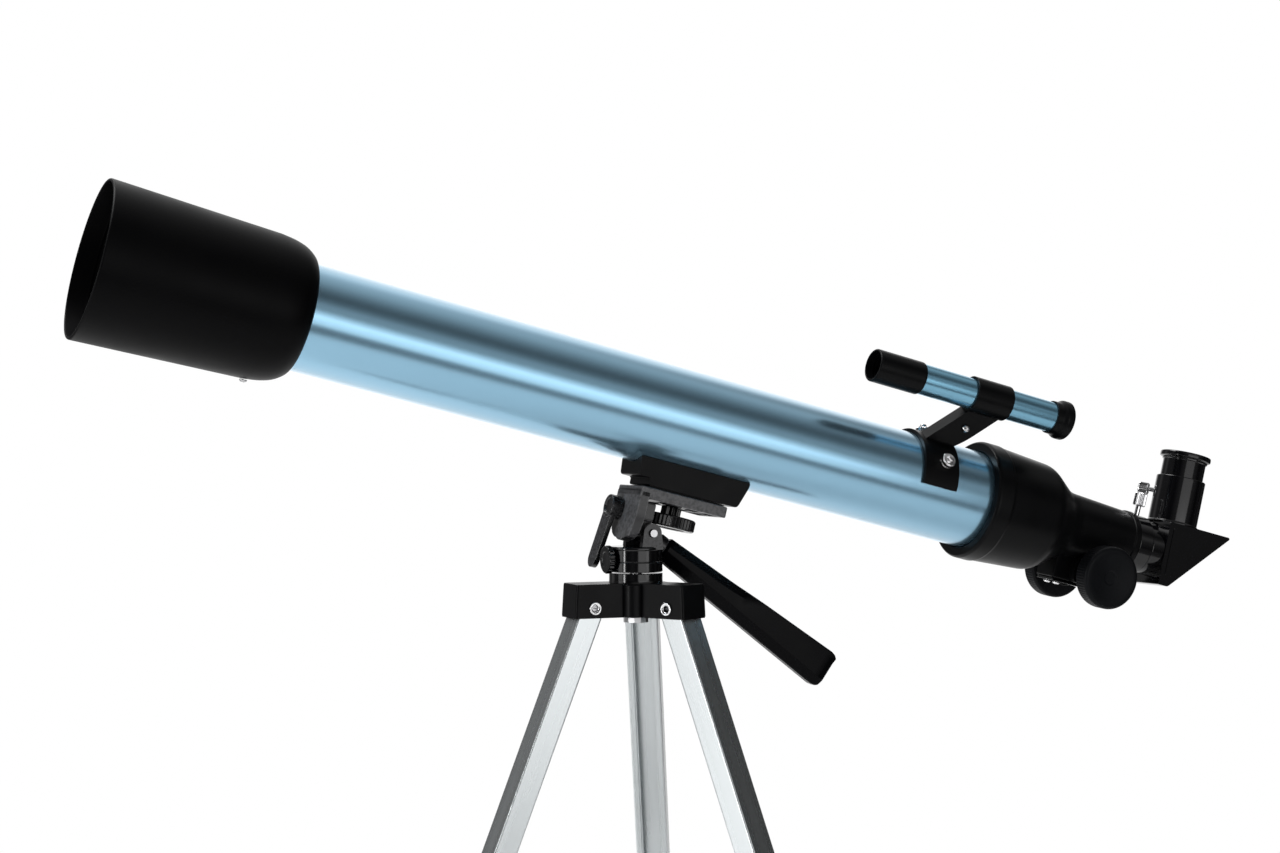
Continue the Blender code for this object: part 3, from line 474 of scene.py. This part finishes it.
def diagonal_and_eyepiece():
    side = [(328.4, DIAGONAL_TOP), (DIAGONAL_TIP - 0.6, DIAGONAL_TOP, 0.4),
            (DIAGONAL_TIP, DIAGONAL_TOP - 0.9, 0.4), (335.0, -20.0, 0.8), (328.4, -20.0)]
    chamber = [(330.6, 14.6), (366.3, 14.6), (333.9, -17.8), (330.6, -17.8)]
    hollow = [(extrude(chamber, 28.6, 0, 0), TUBE @ SIDE_VIEW), (cylinder(10.6, 316, 332), TUBE @ ALONG_S),
              (cylinder(10.9, 12, 20), EYEPIECE)]
    piece("diagonal_housing", extrude(side, 32, 0.6, 0.7), TUBE @ SIDE_VIEW, "gloss", "star_diagonal",
          "diagonal_body", hollow)
    inset = [(331.5, 13.4), (361.0, 13.4, 0.8), (336.0, -14.0, 1.0), (331.5, -14.0)]
    for name, y in (("near", -15.95), ("far", 15.95)):
        piece(f"diagonal_panel_{name}", extrude(inset, 0.7, 0.8, 0.3), TUBE @ move(0, y, 0) @ SIDE_VIEW,
              "gloss", "star_diagonal", "diagonal_body")
    nose = [(12.2, 329.2), (15.6, 329.2, 0.2), (15.6, 320.2, 0.7), (12.2, 320.2, 0.2), (12.2, 298, 0.4),
            (10.6, 298, 0.3), (10.6, 329.2)]
    piece("diagonal_nose", lathe(nose, 96, 0.2), TUBE @ ALONG_S, "gloss", "star_diagonal", "diagonal_body")
    socket = [(14.0, 44, 0.5), (14.0, 17.9, 0.3), (14.7, 17.4, 0.3), (14.7, 16.6, 0.2), (DRAWTUBE_BORE, 16.6),
              (DRAWTUBE_BORE, 44, 0.4)]
    screw_axis = EYEPIECE @ move(z=35) @ turn(0, 0, 135) @ ALONG_S
    piece("socket_tube", lathe(socket, 128, 0.3), EYEPIECE, "gloss", "star_diagonal", "eyepiece_socket",
          [(cylinder(1.9, 10, 18), screw_axis)])
    knurled_screw("eyepiece_screw", screw_axis, 12.75, 17.0, 23.0, "socket_screw")
    eyepiece = [(12.4, EYEPIECE_TOP, 0.4), (14.3, EYEPIECE_TOP - 0.2, 0.5), (14.5, EYEPIECE_TOP - 1.0, 0.5),
                (14.5, 55.8, 0.5), (12.9, 55.2, 0.2), (12.9, 54.4, 0.2), (12.2, 54.0, 0.3), (12.2, 24, 0.4),
                (10.6, 24, 0.3), (10.6, 50), (6.0, 51.5, 0.3), (6.4, 55.4, 0.3), (8.6, 57.4, 1.0)]
    piece("eyepiece_barrel", lathe(eyepiece, 128, 0.3), EYEPIECE, "gloss", "ocular", "eyepiece")
    eye = [(0, 47.6)] + [(10.2 * k / 12, 47.6 - 1.8 * (k / 12) ** 2, 0) for k in range(1, 13)]
    piece("eye_glass", lathe(eye + [(10.2, 44.4), (0, 44.4)], 96, 0), EYEPIECE, "lens", "ocular",
          "eyepiece_lens")


# ---- finder -------------------------------------------------------------------------------

def finder():
    along = FINDER_AXIS @ ALONG_S
    inner_r = FINDER_R - 1.1
    skin = [(FINDER_R, 229.4), (FINDER_R, 138), (inner_r, 138), (inner_r, 229.4)]
    piece("finder_skin", lathe(skin, 96, 0.2), along, "finder_paint", "telescope", "finder_tube")
    hood = [(8.6, 143.5, 0.3), (8.95, 142.9, 0.4), (8.95, 115.1, 0.4), (8.5, 114.5, 0.3), (7.7, 114.5, 0.3)]
    for k in range(10):
        s = 118 + 1.9 * k
        hood += [(7.6, s, 0), (7.35, s + 0.4, 0), (7.35, s + 0.9, 0), (7.6, s + 1.3, 0)]
    hood += [(7.6, 137.6), (8.55, 137.6), (8.55, 143.5)]
    piece("finder_hood_shell", lathe(hood, 96, 0.2), along, "satin", "telescope", "finder_hood")
    cup = [(6.4, 239.0, 0.5), (9.8, 239.0, 0.7), (10.8, 238.2, 0.7), (10.8, 234.4, 0.7), (9.9, 233.2, 0.5),
           (9.3, 232.2, 0.5), (9.1, 228.4, 0.3), (8.55, 228.4), (8.55, 229.8), (6.0, 229.8),
           (6.0, 237.6, 0.5)]
    piece("finder_eyecup_shell", lathe(cup, 96, 0.3), along, "satin", "telescope", "finder_eyecup")
    front = [(6.9 * k / 10, 138.6 + 0.8 * (k / 10) ** 2, 0) for k in range(0, 11)]
    back = [(6.9 * k / 10, 141.2 - 0.5 * (k / 10) ** 2, 0) for k in range(10, -1, -1)]
    piece("finder_glass", lathe(front + back, 72, 0), along, "lens", "telescope", "finder_lens")

    base = TUBE_R + 0.3
    strap = arc(0, 0, base + 1.8, 24, 156, 64) + arc(0, 0, base, 156, 24, 64)
    piece("bracket_strap", extrude(strap, 21, 0, 0.5), FINDER @ move(168.5) @ FRONT_VIEW, "satin",
          "telescope", "finder_bracket")
    leaning = [(160, base + 0.6, 0.3), (178, base + 0.6, 0.3), (184.5, base + 6.5, 5), (197.5, 50.8, 0.5),
               (178.0, 50.8, 0.5)]
    ring_bore = [(cylinder(8.55, 170, 205, 96), along)]
    piece("bracket_post", extrude(leaning, 8.0, 0.8, 1.0), FINDER @ SIDE_VIEW, "satin", "telescope",
          "finder_bracket", ring_bore)
    piece("bracket_ring", lathe([(9.7, 199), (9.7, 176), (8.55, 176), (8.55, 199)], 96, 0.3), along, "satin",
          "telescope", "finder_bracket")
    for side, angle in (("near", 37.0), ("far", -37.0)):
        nut = [(0, base + 7.6), (1.6, base + 7.5), (1.8, base + 7.0), (1.8, base + 5.6), (3.5, base + 5.6),
               (4.0, base + 5.1), (4.0, base + 2.6), (3.6, base + 2.1), (0, base + 2.1)]
        piece(f"finder_nut_{side}_knurled",
              lathe(nut, 144, 0.2, flutes=[(18, 0.45, base + 2.3, base + 5.4, 3.4)]),
              FINDER @ move(170.5) @ turn(angle), "chrome", f"finder_{side}_nut", f"finder_nut_{side}")
    screw_head("finder_clamp_screw", FINDER @ move(180.5, 0, 40.5) @ turn(90), 2.2, 4.3, 6.6,
               "finder_side_screw", "chrome")


# ---- head ---------------------------------------------------------------------------------

def head():
    def from_tilt(s, y, h):
        """From the tilt axis to a place given along the telescope."""
        return move(s - TILT_S, y, h - TILT_H)

    pin_hole = (cylinder(2.3, -14, 14), TILT @ ALONG_Y)
    barrel = [(0, 9), (4.8, 9, 0.5), (4.8, 6.2), (4.4, 5.9), (4.4, -5.9), (4.8, -6.2), (4.8, -9, 0.5),
              (0, -9)]
    piece("tilt_barrel", lathe(barrel, 72, 0.2), TILT @ ALONG_Y, "head", "tilt_block", "tilt_head",
          [pin_hole])
    upper = [(-13, -56.5, 1.5), (-13, -46.2, 1.5)] + arc(FLIP_Y, FLIP_H, 6.5, 80, -40, 24) + [(9, -56.5, 1)]
    bolt_hole = (cylinder(2.6, 5, 25), TILT @ from_tilt(0, FLIP_Y, FLIP_H) @ ALONG_S)
    piece("tilt_upper", extrude(upper, 5.5, 1.0, 0.7), TILT @ from_tilt(12.65, 0, 0) @ FRONT_VIEW, "head",
          "tilt_block", "tilt_head", [bolt_hole])
    waist = [(-9, -64, 1), (-10.4, -55.2, 1.5), (10.4, -55.2, 1.5), (9, -64, 1)]
    piece("tilt_waist", extrude(waist, 5.2, 0.8, 0.6), TILT @ from_tilt(12.65, 0, 0) @ FRONT_VIEW, "head",
          "tilt_block", "tilt_head", [pin_hole])
    for number, y in enumerate((-7.6, 0.0, 7.6), 1):
        rib = [(13.5, -62.5), (13.5, -49.5, 0.5), (15.9, -49.5, 0.8), (17.2, -57.5, 2)]
        piece(f"tilt_rib_{number}", extrude(rib, 1.5, 0.3, 0.3), TILT @ from_tilt(0, y, 0) @ SIDE_VIEW,
              "head", "tilt_block", "tilt_head")
    socket = [(0, 13.5), (2.6, 13.5), (5.6, 13.5, 0.6), (5.6, 9.8), (5.2, 9.4), (5.2, 2.5), (0, 2.5)]
    piece("handle_socket", lathe(socket, 64, 0.2), HANDLE @ ALONG_S, "head", "tilt_block", "tilt_head",
          [(cylinder(2.6, 6.5, 15), HANDLE @ ALONG_S), pin_hole])

    lever = arc(FLIP_Y, FLIP_H, 6, 175, 5, 24) + arc(16, -80, 5, 15, -170, 24)
    piece("flip_lever_blade", extrude(lever, 2.7, 0, 0.8), FLIP @ move(0.15, -FLIP_Y, -FLIP_H) @ FRONT_VIEW,
          "head", "flip_clamp", "flip_lever")
    hub = [(0, 0.4), (2.5, 0.4), (2.5, 4.2), (6.2, 4.2), (6.2, -2.2, 0.8), (4.4, -2.2, 0.3), (3.9, -1.4, 0.3),
           (0, -1.4)]
    piece("flip_lever_hub", lathe(hub, 72, 0.3), FLIP @ ALONG_S, "head", "flip_clamp", "flip_lever")


def handle():
    """A moulded paddle: a slim neck that widens into a flat blade, with a long bevel under it."""
    rings = []
    stations = [14.2, 15.2] + [20 + 4 * k for k in range(27)] + [127, 129.6, 131]
    for x in stations:
        t = min(1, max(0, (x - 14.2) / 113))
        top = 6.2 + 4.0 * t
        bottom = -6.4 - 4.0 * t ** 0.9
        ease = min(1, max(0, (x - 52) / 30))
        ease = ease * ease * (3 - 2 * ease)
        upper = 2.6 + 2.7 * ease
        ridge = -1.2 - 4.6 * t
        end = 0.0 if 15 < x < 128 else (1.0 if x in (14.2, 131) else 0.35)
        wide = 5.4 - 0.9 * end
        top, bottom = top - 1.6 * end, bottom + 1.6 * end
        side = [(upper - 0.8, top), (upper, top - 0.7), (wide, top - 3.4 - 1.6 * (1 - ease)),
                (wide, ridge + 0.4), (wide - 0.25, ridge - 0.3), (2.9, bottom + 0.5), (2.2, bottom)]
        section = side + [(-y, z) for y, z in reversed(side)]
        rings.append([(x, y, z) for y, z in section])
    piece("handle_paddle", loft(rings), HANDLE, "blade", "handle", "pan_handle", sharp=22)
    stud = [(0, 7), (2.3, 7), (2.3, 18), (0, 18)]
    piece("handle_stud", lathe(stud, 40, 0.3), HANDLE @ ALONG_S, "blade", "handle", "pan_handle")


def pan_base():
    height = PAN_TOP - PAN_SPLIT
    tilt_height = -TILT_DROP - PAN_SPLIT
    profile = [(0, height), (13.4, height, 0.3), (PAN_R + 0.2, height - 0.5, 0.4),
               (PAN_R + 0.2, height - 1.5, 0.3), (PAN_R, height - 1.9, 0.2), (PAN_R, 5.9, 0.1),
               (PAN_R - 0.25, 5.65, 0.1), (PAN_R - 0.25, 5.35, 0.1), (PAN_R, 5.1, 0.1), (PAN_R, 0.3, 0.4),
               (3.5, 0.3), (3.5, 7), (0, 7)]
    slot = (block((3, -7.4, 1.6), (20, 7.4, height + 2), 0.6), PAN)
    axle = (cylinder(2.3, -16, 16), PAN @ move(TILT_FROM_PAN, 0, tilt_height) @ ALONG_Y)
    lock = (cylinder(2.3, -20, -6), PAN @ move(0, 0, height / 2) @ ALONG_S)
    piece("pan_drum", lathe(profile, 128, 0.3), PAN, "gloss", "pan_head", "pan_base",
          [slot, lock])
    outline = arc(TILT_FROM_PAN, tilt_height, 5, 0, 180, 32) + [(TILT_FROM_PAN - 6, height - 1.5),
                                                                (TILT_FROM_PAN + 6, height - 1.5)]
    for side, y in (("near", -11.2), ("far", 11.2)):
        piece(f"pan_cheek_{side}", extrude(outline, 3.6, 0.4, 0.6), PAN @ move(0, y, 0) @ SIDE_VIEW, "head",
              "pan_head", "pan_base", [axle])
    knob = [(0, -7), (2.0, -7), (2.0, -PAN_R - 0.4), (7.0, -PAN_R - 0.4), (7.3, -PAN_R - 0.7),
            (7.3, -PAN_R - 3.0), (6.7, -PAN_R - 3.5), (4.2, -PAN_R - 3.5), (3.8, -PAN_R - 3.1),
            (0, -PAN_R - 3.1)]
    piece("lock_knob", lathe(knob, 160, 0.25, flutes=[(20, 0.5, -PAN_R - 3.3, -PAN_R - 0.6, 6.8)]),
          PAN @ move(0, 0, height / 2) @ ALONG_S, "gloss", "pan_lock_screw", "pan_lock")


# ---- tripod -------------------------------------------------------------------------------

def crown():
    half = CROWN_ARM_HALF
    star = []
    for azimuth in LEG_AZIMUTHS:
        a = math.radians(azimuth)
        for along, across, soft in ((half / math.tan(math.radians(60)), -half, 1.5), (CROWN_R, -half, 1.6),
                                    (CROWN_R, half, 1.6)):
            star.append((along * math.cos(a) - across * math.sin(a),
                         along * math.sin(a) + across * math.cos(a), soft))
    middle = COLLAR_BASE - CROWN_HEIGHT / 2
    cutters = [(cylinder(3.5, -115, -80), TRIPOD)]
    for number, azimuth in enumerate(LEG_AZIMUTHS, 1):
        arm = TRIPOD @ move(z=-PIVOT_DROP) @ turn(0, 0, azimuth)
        cutters.append((block((16.6, -8.95, -12), (35.6, 8.95, 10.2), 0.5), arm))
        cutters.append((cylinder(2.7, -14, 14), arm @ move(PIVOT_RADIUS) @ ALONG_Y))
        edge = half + 0.25
        eyelet = [(3.3, edge + 0.7, 0.35), (3.3, edge, 0.1), (2.3, edge, 0.1), (2.3, -edge, 0.1),
                  (3.3, -edge, 0.1), (3.3, -edge - 0.7, 0.35), (2.6, -edge - 0.9, 0.3),
                  (1.6, -edge - 0.3, 0.4), (1.5, -edge + 1.5, 0.2), (1.5, edge - 1.5, 0.2),
                  (1.6, edge + 0.3, 0.4), (2.6, edge + 0.9, 0.3)]
        piece(f"eyelet_{number}", lathe(eyelet, 72, 0.2), arm @ move(PIVOT_RADIUS) @ ALONG_Y, "chrome",
              "tripod_crown", f"leg_rivet_{number}")
    piece("crown_star", extrude(star, CROWN_HEIGHT, 1.5, 1.1, 0.975), TRIPOD @ move(z=middle), "satin",
          "tripod_crown", "crown", cutters)
    for number, azimuth in enumerate(LEG_AZIMUTHS, 1):
        a = math.radians(azimuth + 60)
        boss = [(0, COLLAR_BASE - 0.2), (5.6, COLLAR_BASE - 0.2, 0.9), (5.6, COLLAR_BASE - CROWN_HEIGHT, 0.8),
                (0, COLLAR_BASE - CROWN_HEIGHT)]
        piece(f"crown_boss_{number}", lathe(boss, 64, 0.8),
              TRIPOD @ move(11.8 * math.cos(a), 11.8 * math.sin(a), 0), "satin", "tripod_crown", "crown",
              [(cylinder(3.5, -115, -80), TRIPOD)])
    collar = [(PAN_R, PAN_SPLIT - 0.3, 0.4), (PAN_R, COLLAR_BASE + 0.9, 0.6), (PAN_R + 0.7, COLLAR_BASE - 2),
              (3.5, COLLAR_BASE - 2), (3.5, PAN_SPLIT - 0.3)]
    piece("crown_collar", lathe(collar, 128, 0.3), TRIPOD, "gloss", "tripod_crown", "crown")


def channel(half_w, half_d, lip, low, high):
    """A leg section rolled from sheet: open inwards, with its lips turned in."""
    wall = LEG_WALL
    right = [(half_d, half_w, 1.1), (-half_d, half_w, 1.1), (-half_d, half_w - lip, 0.25),
             (wall - half_d, half_w - lip, 0.25), (wall - half_d, half_w - wall, 0.4),
             (half_d - wall, half_w - wall, 0.4)]
    outline = right + [(x, -y, r) for x, y, r in reversed(right)]
    points = soften(outline, 0.3)
    rings = [[(p.x, p.y, z) for p in points] for z in (low, high)]
    return loft(rings)


def leg(number, azimuth):
    a = math.radians(azimuth)
    rivet = move(PIVOT_RADIUS * math.cos(a), PIVOT_RADIUS * math.sin(a), -PIVOT_DROP)
    axis = TRIPOD @ rivet @ turn(0, -SPLAY, azimuth)
    outer = channel(LEG_HALF_W, LEG_HALF_D, LEG_LIP, UPPER_END, UPPER_TOP)
    piece(f"leg_channel_{number}", outer, axis, "alloy", f"leg_{number}", f"leg_upper_{number}",
          [(cylinder(2.7, -12, 12), axis @ ALONG_Y)])
    inner = channel(LEG_HALF_W - LEG_WALL - 0.3, LEG_HALF_D - LEG_WALL - 0.3, 2.6, INNER_END, INNER_TOP)
    piece(f"leg_inner_channel_{number}", inner, axis, "alloy", f"leg_slide_{number}", f"leg_lower_{number}")
    leg_clamp(number, axis)
    leg_foot(number, axis)


def leg_clamp(number, axis):
    """The collar that holds the inner section, with its two rims, two lugs and flip lever."""
    body, lock = f"leg_{number}", f"leg_lock_{number}"
    bore = [(block((-6.4, -8.95, CLAMP_END - 6), (6.4, 8.95, CLAMP_TOP + 5), 0), axis)]
    piece(f"clamp_collar_{number}", block((-8.6, -11.2, CLAMP_END), (8.6, 11.2, CLAMP_TOP), 1.4), axis,
          "satin", body, f"leg_clamp_{number}", bore)
    for k, z in enumerate((CLAMP_END + 1.6, CLAMP_TOP - 1.6), 1):
        piece(f"clamp_rim_{number}_{k}", block((-9.1, -11.7, z - 0.9), (9.1, 11.7, z + 0.9), 0.7), axis,
              "satin", body, f"leg_clamp_{number}", bore)
    hinge = axis @ move(LEVER_X, 0, LEVER_Z)
    for k, y in enumerate((-5.7, 5.7), 1):
        lug = [(-3.6, -4), (-3.6, 4), (0.6, 4, 1.8), (2.6, 2.2, 1.8), (2.6, -2.2, 1.8), (0.6, -4, 1.8)]
        piece(f"clamp_lug_{number}_{k}", extrude(lug, 3.0, 0.3, 0.4), hinge @ move(0, y, 0) @ SIDE_VIEW,
              "satin", body, f"leg_clamp_{number}", [(cylinder(1.8, -10, 10), hinge @ ALONG_Y)])
    lever = arc(0, 0, 2.6, 0, 180, 16) + [(-2.4, -25, 0.5), (-1.6, -28, 0.8), (1.2, -27, 0.8)]
    ribs = [(block((1.55, -5, z), (3.4, 5, z + 0.7), 0), hinge) for z in (-24.4, -22.6, -20.8, -19.0)]
    piece(f"clamp_lever_{number}", extrude(lever, 7.8, 0.4, 0.5), hinge @ SIDE_VIEW, "satin", lock,
          f"leg_lever_{number}", ribs)
    pin = [(0, 7), (1.5, 7), (1.5, -7), (0, -7)]
    piece(f"lever_pin_{number}", lathe(pin, 32, 0.3), hinge @ ALONG_Y, "steel", lock, f"leg_lever_{number}")


def leg_foot(number, axis):
    """A rubber foot cut flat at the floor: a core, and a sleeve with three grooves round it."""
    def under_floor(height):
        return block((-250, -250, -60), (250, 250, height), 0), Matrix.Identity(4)

    def section_hole():
        return block((-5.1, -7.65, INNER_END - 0.5), (5.1, 7.65, -245), 0), axis

    body, node = f"leg_slide_{number}", f"leg_foot_{number}"
    grooves = [(block((-9, -12, z), (9, 12, z + 0.8), 0), axis) for z in (-262.0, -266.0, -270.0)]
    core_hole = (block((-7.0, -9.2, -310), (7.0, 9.2, -254), 0), axis)
    piece(f"foot_core_{number}", block((-6.9, -9.1, -300), (6.9, 9.1, -251), 1.2), axis, "tread", body, node,
          [under_floor(0), section_hole()])
    piece(f"foot_sleeve_{number}", block((-7.4, -9.6, -298), (7.4, 9.6, -250), 1.5), axis, "tread", body,
          node, [under_floor(0.02), core_hole, section_hole()] + grooves)


def kept_nodes():
    """Hidden or plain CAD nodes that keep their own shape get a finished material."""
    for node, look in (("focus_rack", "gloss"), ("pinion", "steel"), ("platform_pad", "rubber"),
                       ("diagonal_prism", "lens"), ("flip_bolt", "steel"), ("tilt_pin", "steel"),
                       ("pan_bolt", "steel")):
        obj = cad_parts[node]
        for slot in obj.material_slots:
            slot.material = LOOKS[look]
        if not obj.material_slots:
            obj.data.materials.append(LOOKS[look])


optical_tube()
saddle_and_plate()
focuser()
diagonal_and_eyepiece()
finder()
head()
handle()
pan_base()
crown()
for number, azimuth in enumerate(LEG_AZIMUTHS, 1):
    leg(number, azimuth)
kept_nodes()


# ---- floor, light and camera --------------------------------------------------------------

VIEW_AZIMUTH = math.radians(23.4)
FLOOR_R = 0.62
TO_CAMERA = Vector((-math.sin(VIEW_AZIMUTH), -math.cos(VIEW_AZIMUTH), 0))


def studio():
    """White surroundings with a darker front, as on a high-key product table, and a pale floor."""
    scene = bpy.context.scene
    world = bpy.data.worlds.new("studio")
    world.use_nodes = True
    scene.world = world
    nodes, links = world.node_tree.nodes, world.node_tree.links
    background = nodes["Background"]
    where = nodes.new("ShaderNodeTexCoord")

    def along(direction):
        node = nodes.new("ShaderNodeVectorMath")
        node.operation = "DOT_PRODUCT"
        node.inputs[1].default_value = direction
        links.new(where.outputs["Generated"], node.inputs[0])
        return node.outputs["Value"]

    def maths(operation, a, b=0.0):
        node = nodes.new("ShaderNodeMath")
        node.operation = operation
        for socket, value in zip(node.inputs, (a, b)):
            if isinstance(value, float):
                socket.default_value = value
            else:
                links.new(value, socket)
        return node.outputs["Value"]

    def remap(value, start, end, low, high):
        node = nodes.new("ShaderNodeMapRange")
        for socket, number in zip(("From Min", "From Max", "To Min", "To Max"), (start, end, low, high)):
            node.inputs[socket].default_value = number
        links.new(value, node.inputs["Value"])
        return node.outputs["Result"]

    # Brightness by the angle round the tube's axis, measured from straight ahead (-Y) upwards.
    angle = maths("ARCTAN2", along((SIN, 0, COS)), along((0, -1, 0)))
    ramp = nodes.new("ShaderNodeValToRGB")
    stops = [(-180, 1.0), (-120, 0.85), (-70, 1.05), (-50, 1.0), (-38, 0.45), (-28, 0.20), (-16, 0.15),
             (-8, 0.05), (14, 0.20), (28, 0.50), (38, 0.18), (50, 0.06), (64, 0.20), (84, 0.50), (115, 0.85),
             (150, 1.0), (180, 1.0)]
    elements = ramp.color_ramp.elements
    for k, (degrees, level) in enumerate(stops):
        position = (degrees + 180) / 360
        element = elements[k] if k < 2 else elements.new(position)
        element.position = position
        element.color = (level, level, level, 1)
    links.new(remap(angle, -math.pi, math.pi, 0, 1), ramp.inputs["Fac"])
    sides = remap(maths("ABSOLUTE", along((COS, 0, -SIN))), 0.55, 0.80, 1.0, 0.14)
    behind = along(-TO_CAMERA)
    across = maths("ABSOLUTE", along((TO_CAMERA.y, -TO_CAMERA.x, 0)))
    backdrop = remap(across, 0.30, 0.48, 1.25, 0.14)
    at_back = remap(behind, 0.30, 0.60, 0.0, 1.0)
    blend = nodes.new("ShaderNodeMix")
    links.new(at_back, blend.inputs["Factor"])
    blend.inputs["A"].default_value = 1.0
    links.new(backdrop, blend.inputs["B"])
    level = maths("MULTIPLY", maths("MULTIPLY", ramp.outputs["Color"], sides), blend.outputs["Result"])
    path = nodes.new("ShaderNodeLightPath")
    seen = nodes.new("ShaderNodeMix")
    links.new(path.outputs["Is Camera Ray"], seen.inputs["Factor"])
    links.new(level, seen.inputs["A"])
    seen.inputs["B"].default_value = 1.0
    links.new(seen.outputs["Result"], background.inputs["Color"])
    background.inputs["Strength"].default_value = 1.0

    angles = [2 * math.pi * k / 128 for k in range(128)]
    rims = [[(FLOOR_R * math.cos(a), FLOOR_R * math.sin(a), z) for a in angles] for z in (-0.004, -0.0006)]
    floor = to_object("floor", loft(rims), Matrix.Identity(4), 1.0)
    floor.data.materials.append(material("pale_floor", (0.86, 0.86, 0.86), 0.6, mottle=0.01, bump=0.0))

    def lamp(name, place, aim, size, radiance, lies_along="Y"):
        """A soft rectangular light, upright ("Y") or with its width along the tube ("X")."""
        light = bpy.data.lights.new(name, "AREA")
        light.shape = "RECTANGLE"
        light.size, light.size_y = size
        light.energy = radiance * math.pi * size[0] * size[1]
        obj = bpy.data.objects.new(name, light)
        scene.collection.objects.link(obj)
        obj.location = place
        back = (Vector(place) - Vector(aim)).normalized()
        tube = Vector((COS, 0, -SIN))
        if lies_along == "Y":
            side = Vector((0, 0, 1)).cross(back).normalized()
        else:
            side = (tube - back * back.dot(tube)).normalized()
        up = back.cross(side)
        obj.rotation_euler = Matrix((side, up, back)).transposed().to_euler()

    tube_middle = (0.0, 0.0, 0.37)
    lamp("front_soft", (0.24, -1.42, 0.34), tube_middle, (1.24, 0.72), 0.9, "X")
    lamp("front_core", (0.24, -1.38, 0.375), tube_middle, (1.24, 0.20), 1.15, "X")
    lamp("front_low", (0.24, -1.42, 0.08), tube_middle, (1.24, 0.32), 0.65, "X")
    lamp("left_strip", (-1.42, -0.42, 0.30), (0, 0, 0.3), (0.15, 0.9), 12.0)
    lamp("left_panel", (-1.55, 0.05, 0.28), (0, 0, 0.25), (0.55, 1.2), 1.35)
    lamp("overhead", (-0.75, 0.35, 1.75), (0, 0, 0.1), (1.1, 1.1), 8.5)

    camera = bpy.data.cameras.new("camera")
    camera.sensor_width = 36.0
    camera.lens = 64.77
    obj = bpy.data.objects.new("camera", camera)
    scene.collection.objects.link(obj)
    obj.location = (-0.51147, -1.0999, 0.36311)
    obj.rotation_euler = (math.radians(90), 0, -VIEW_AZIMUTH)
    scene.camera = obj
    scene.view_settings.view_transform = "Standard"


studio()
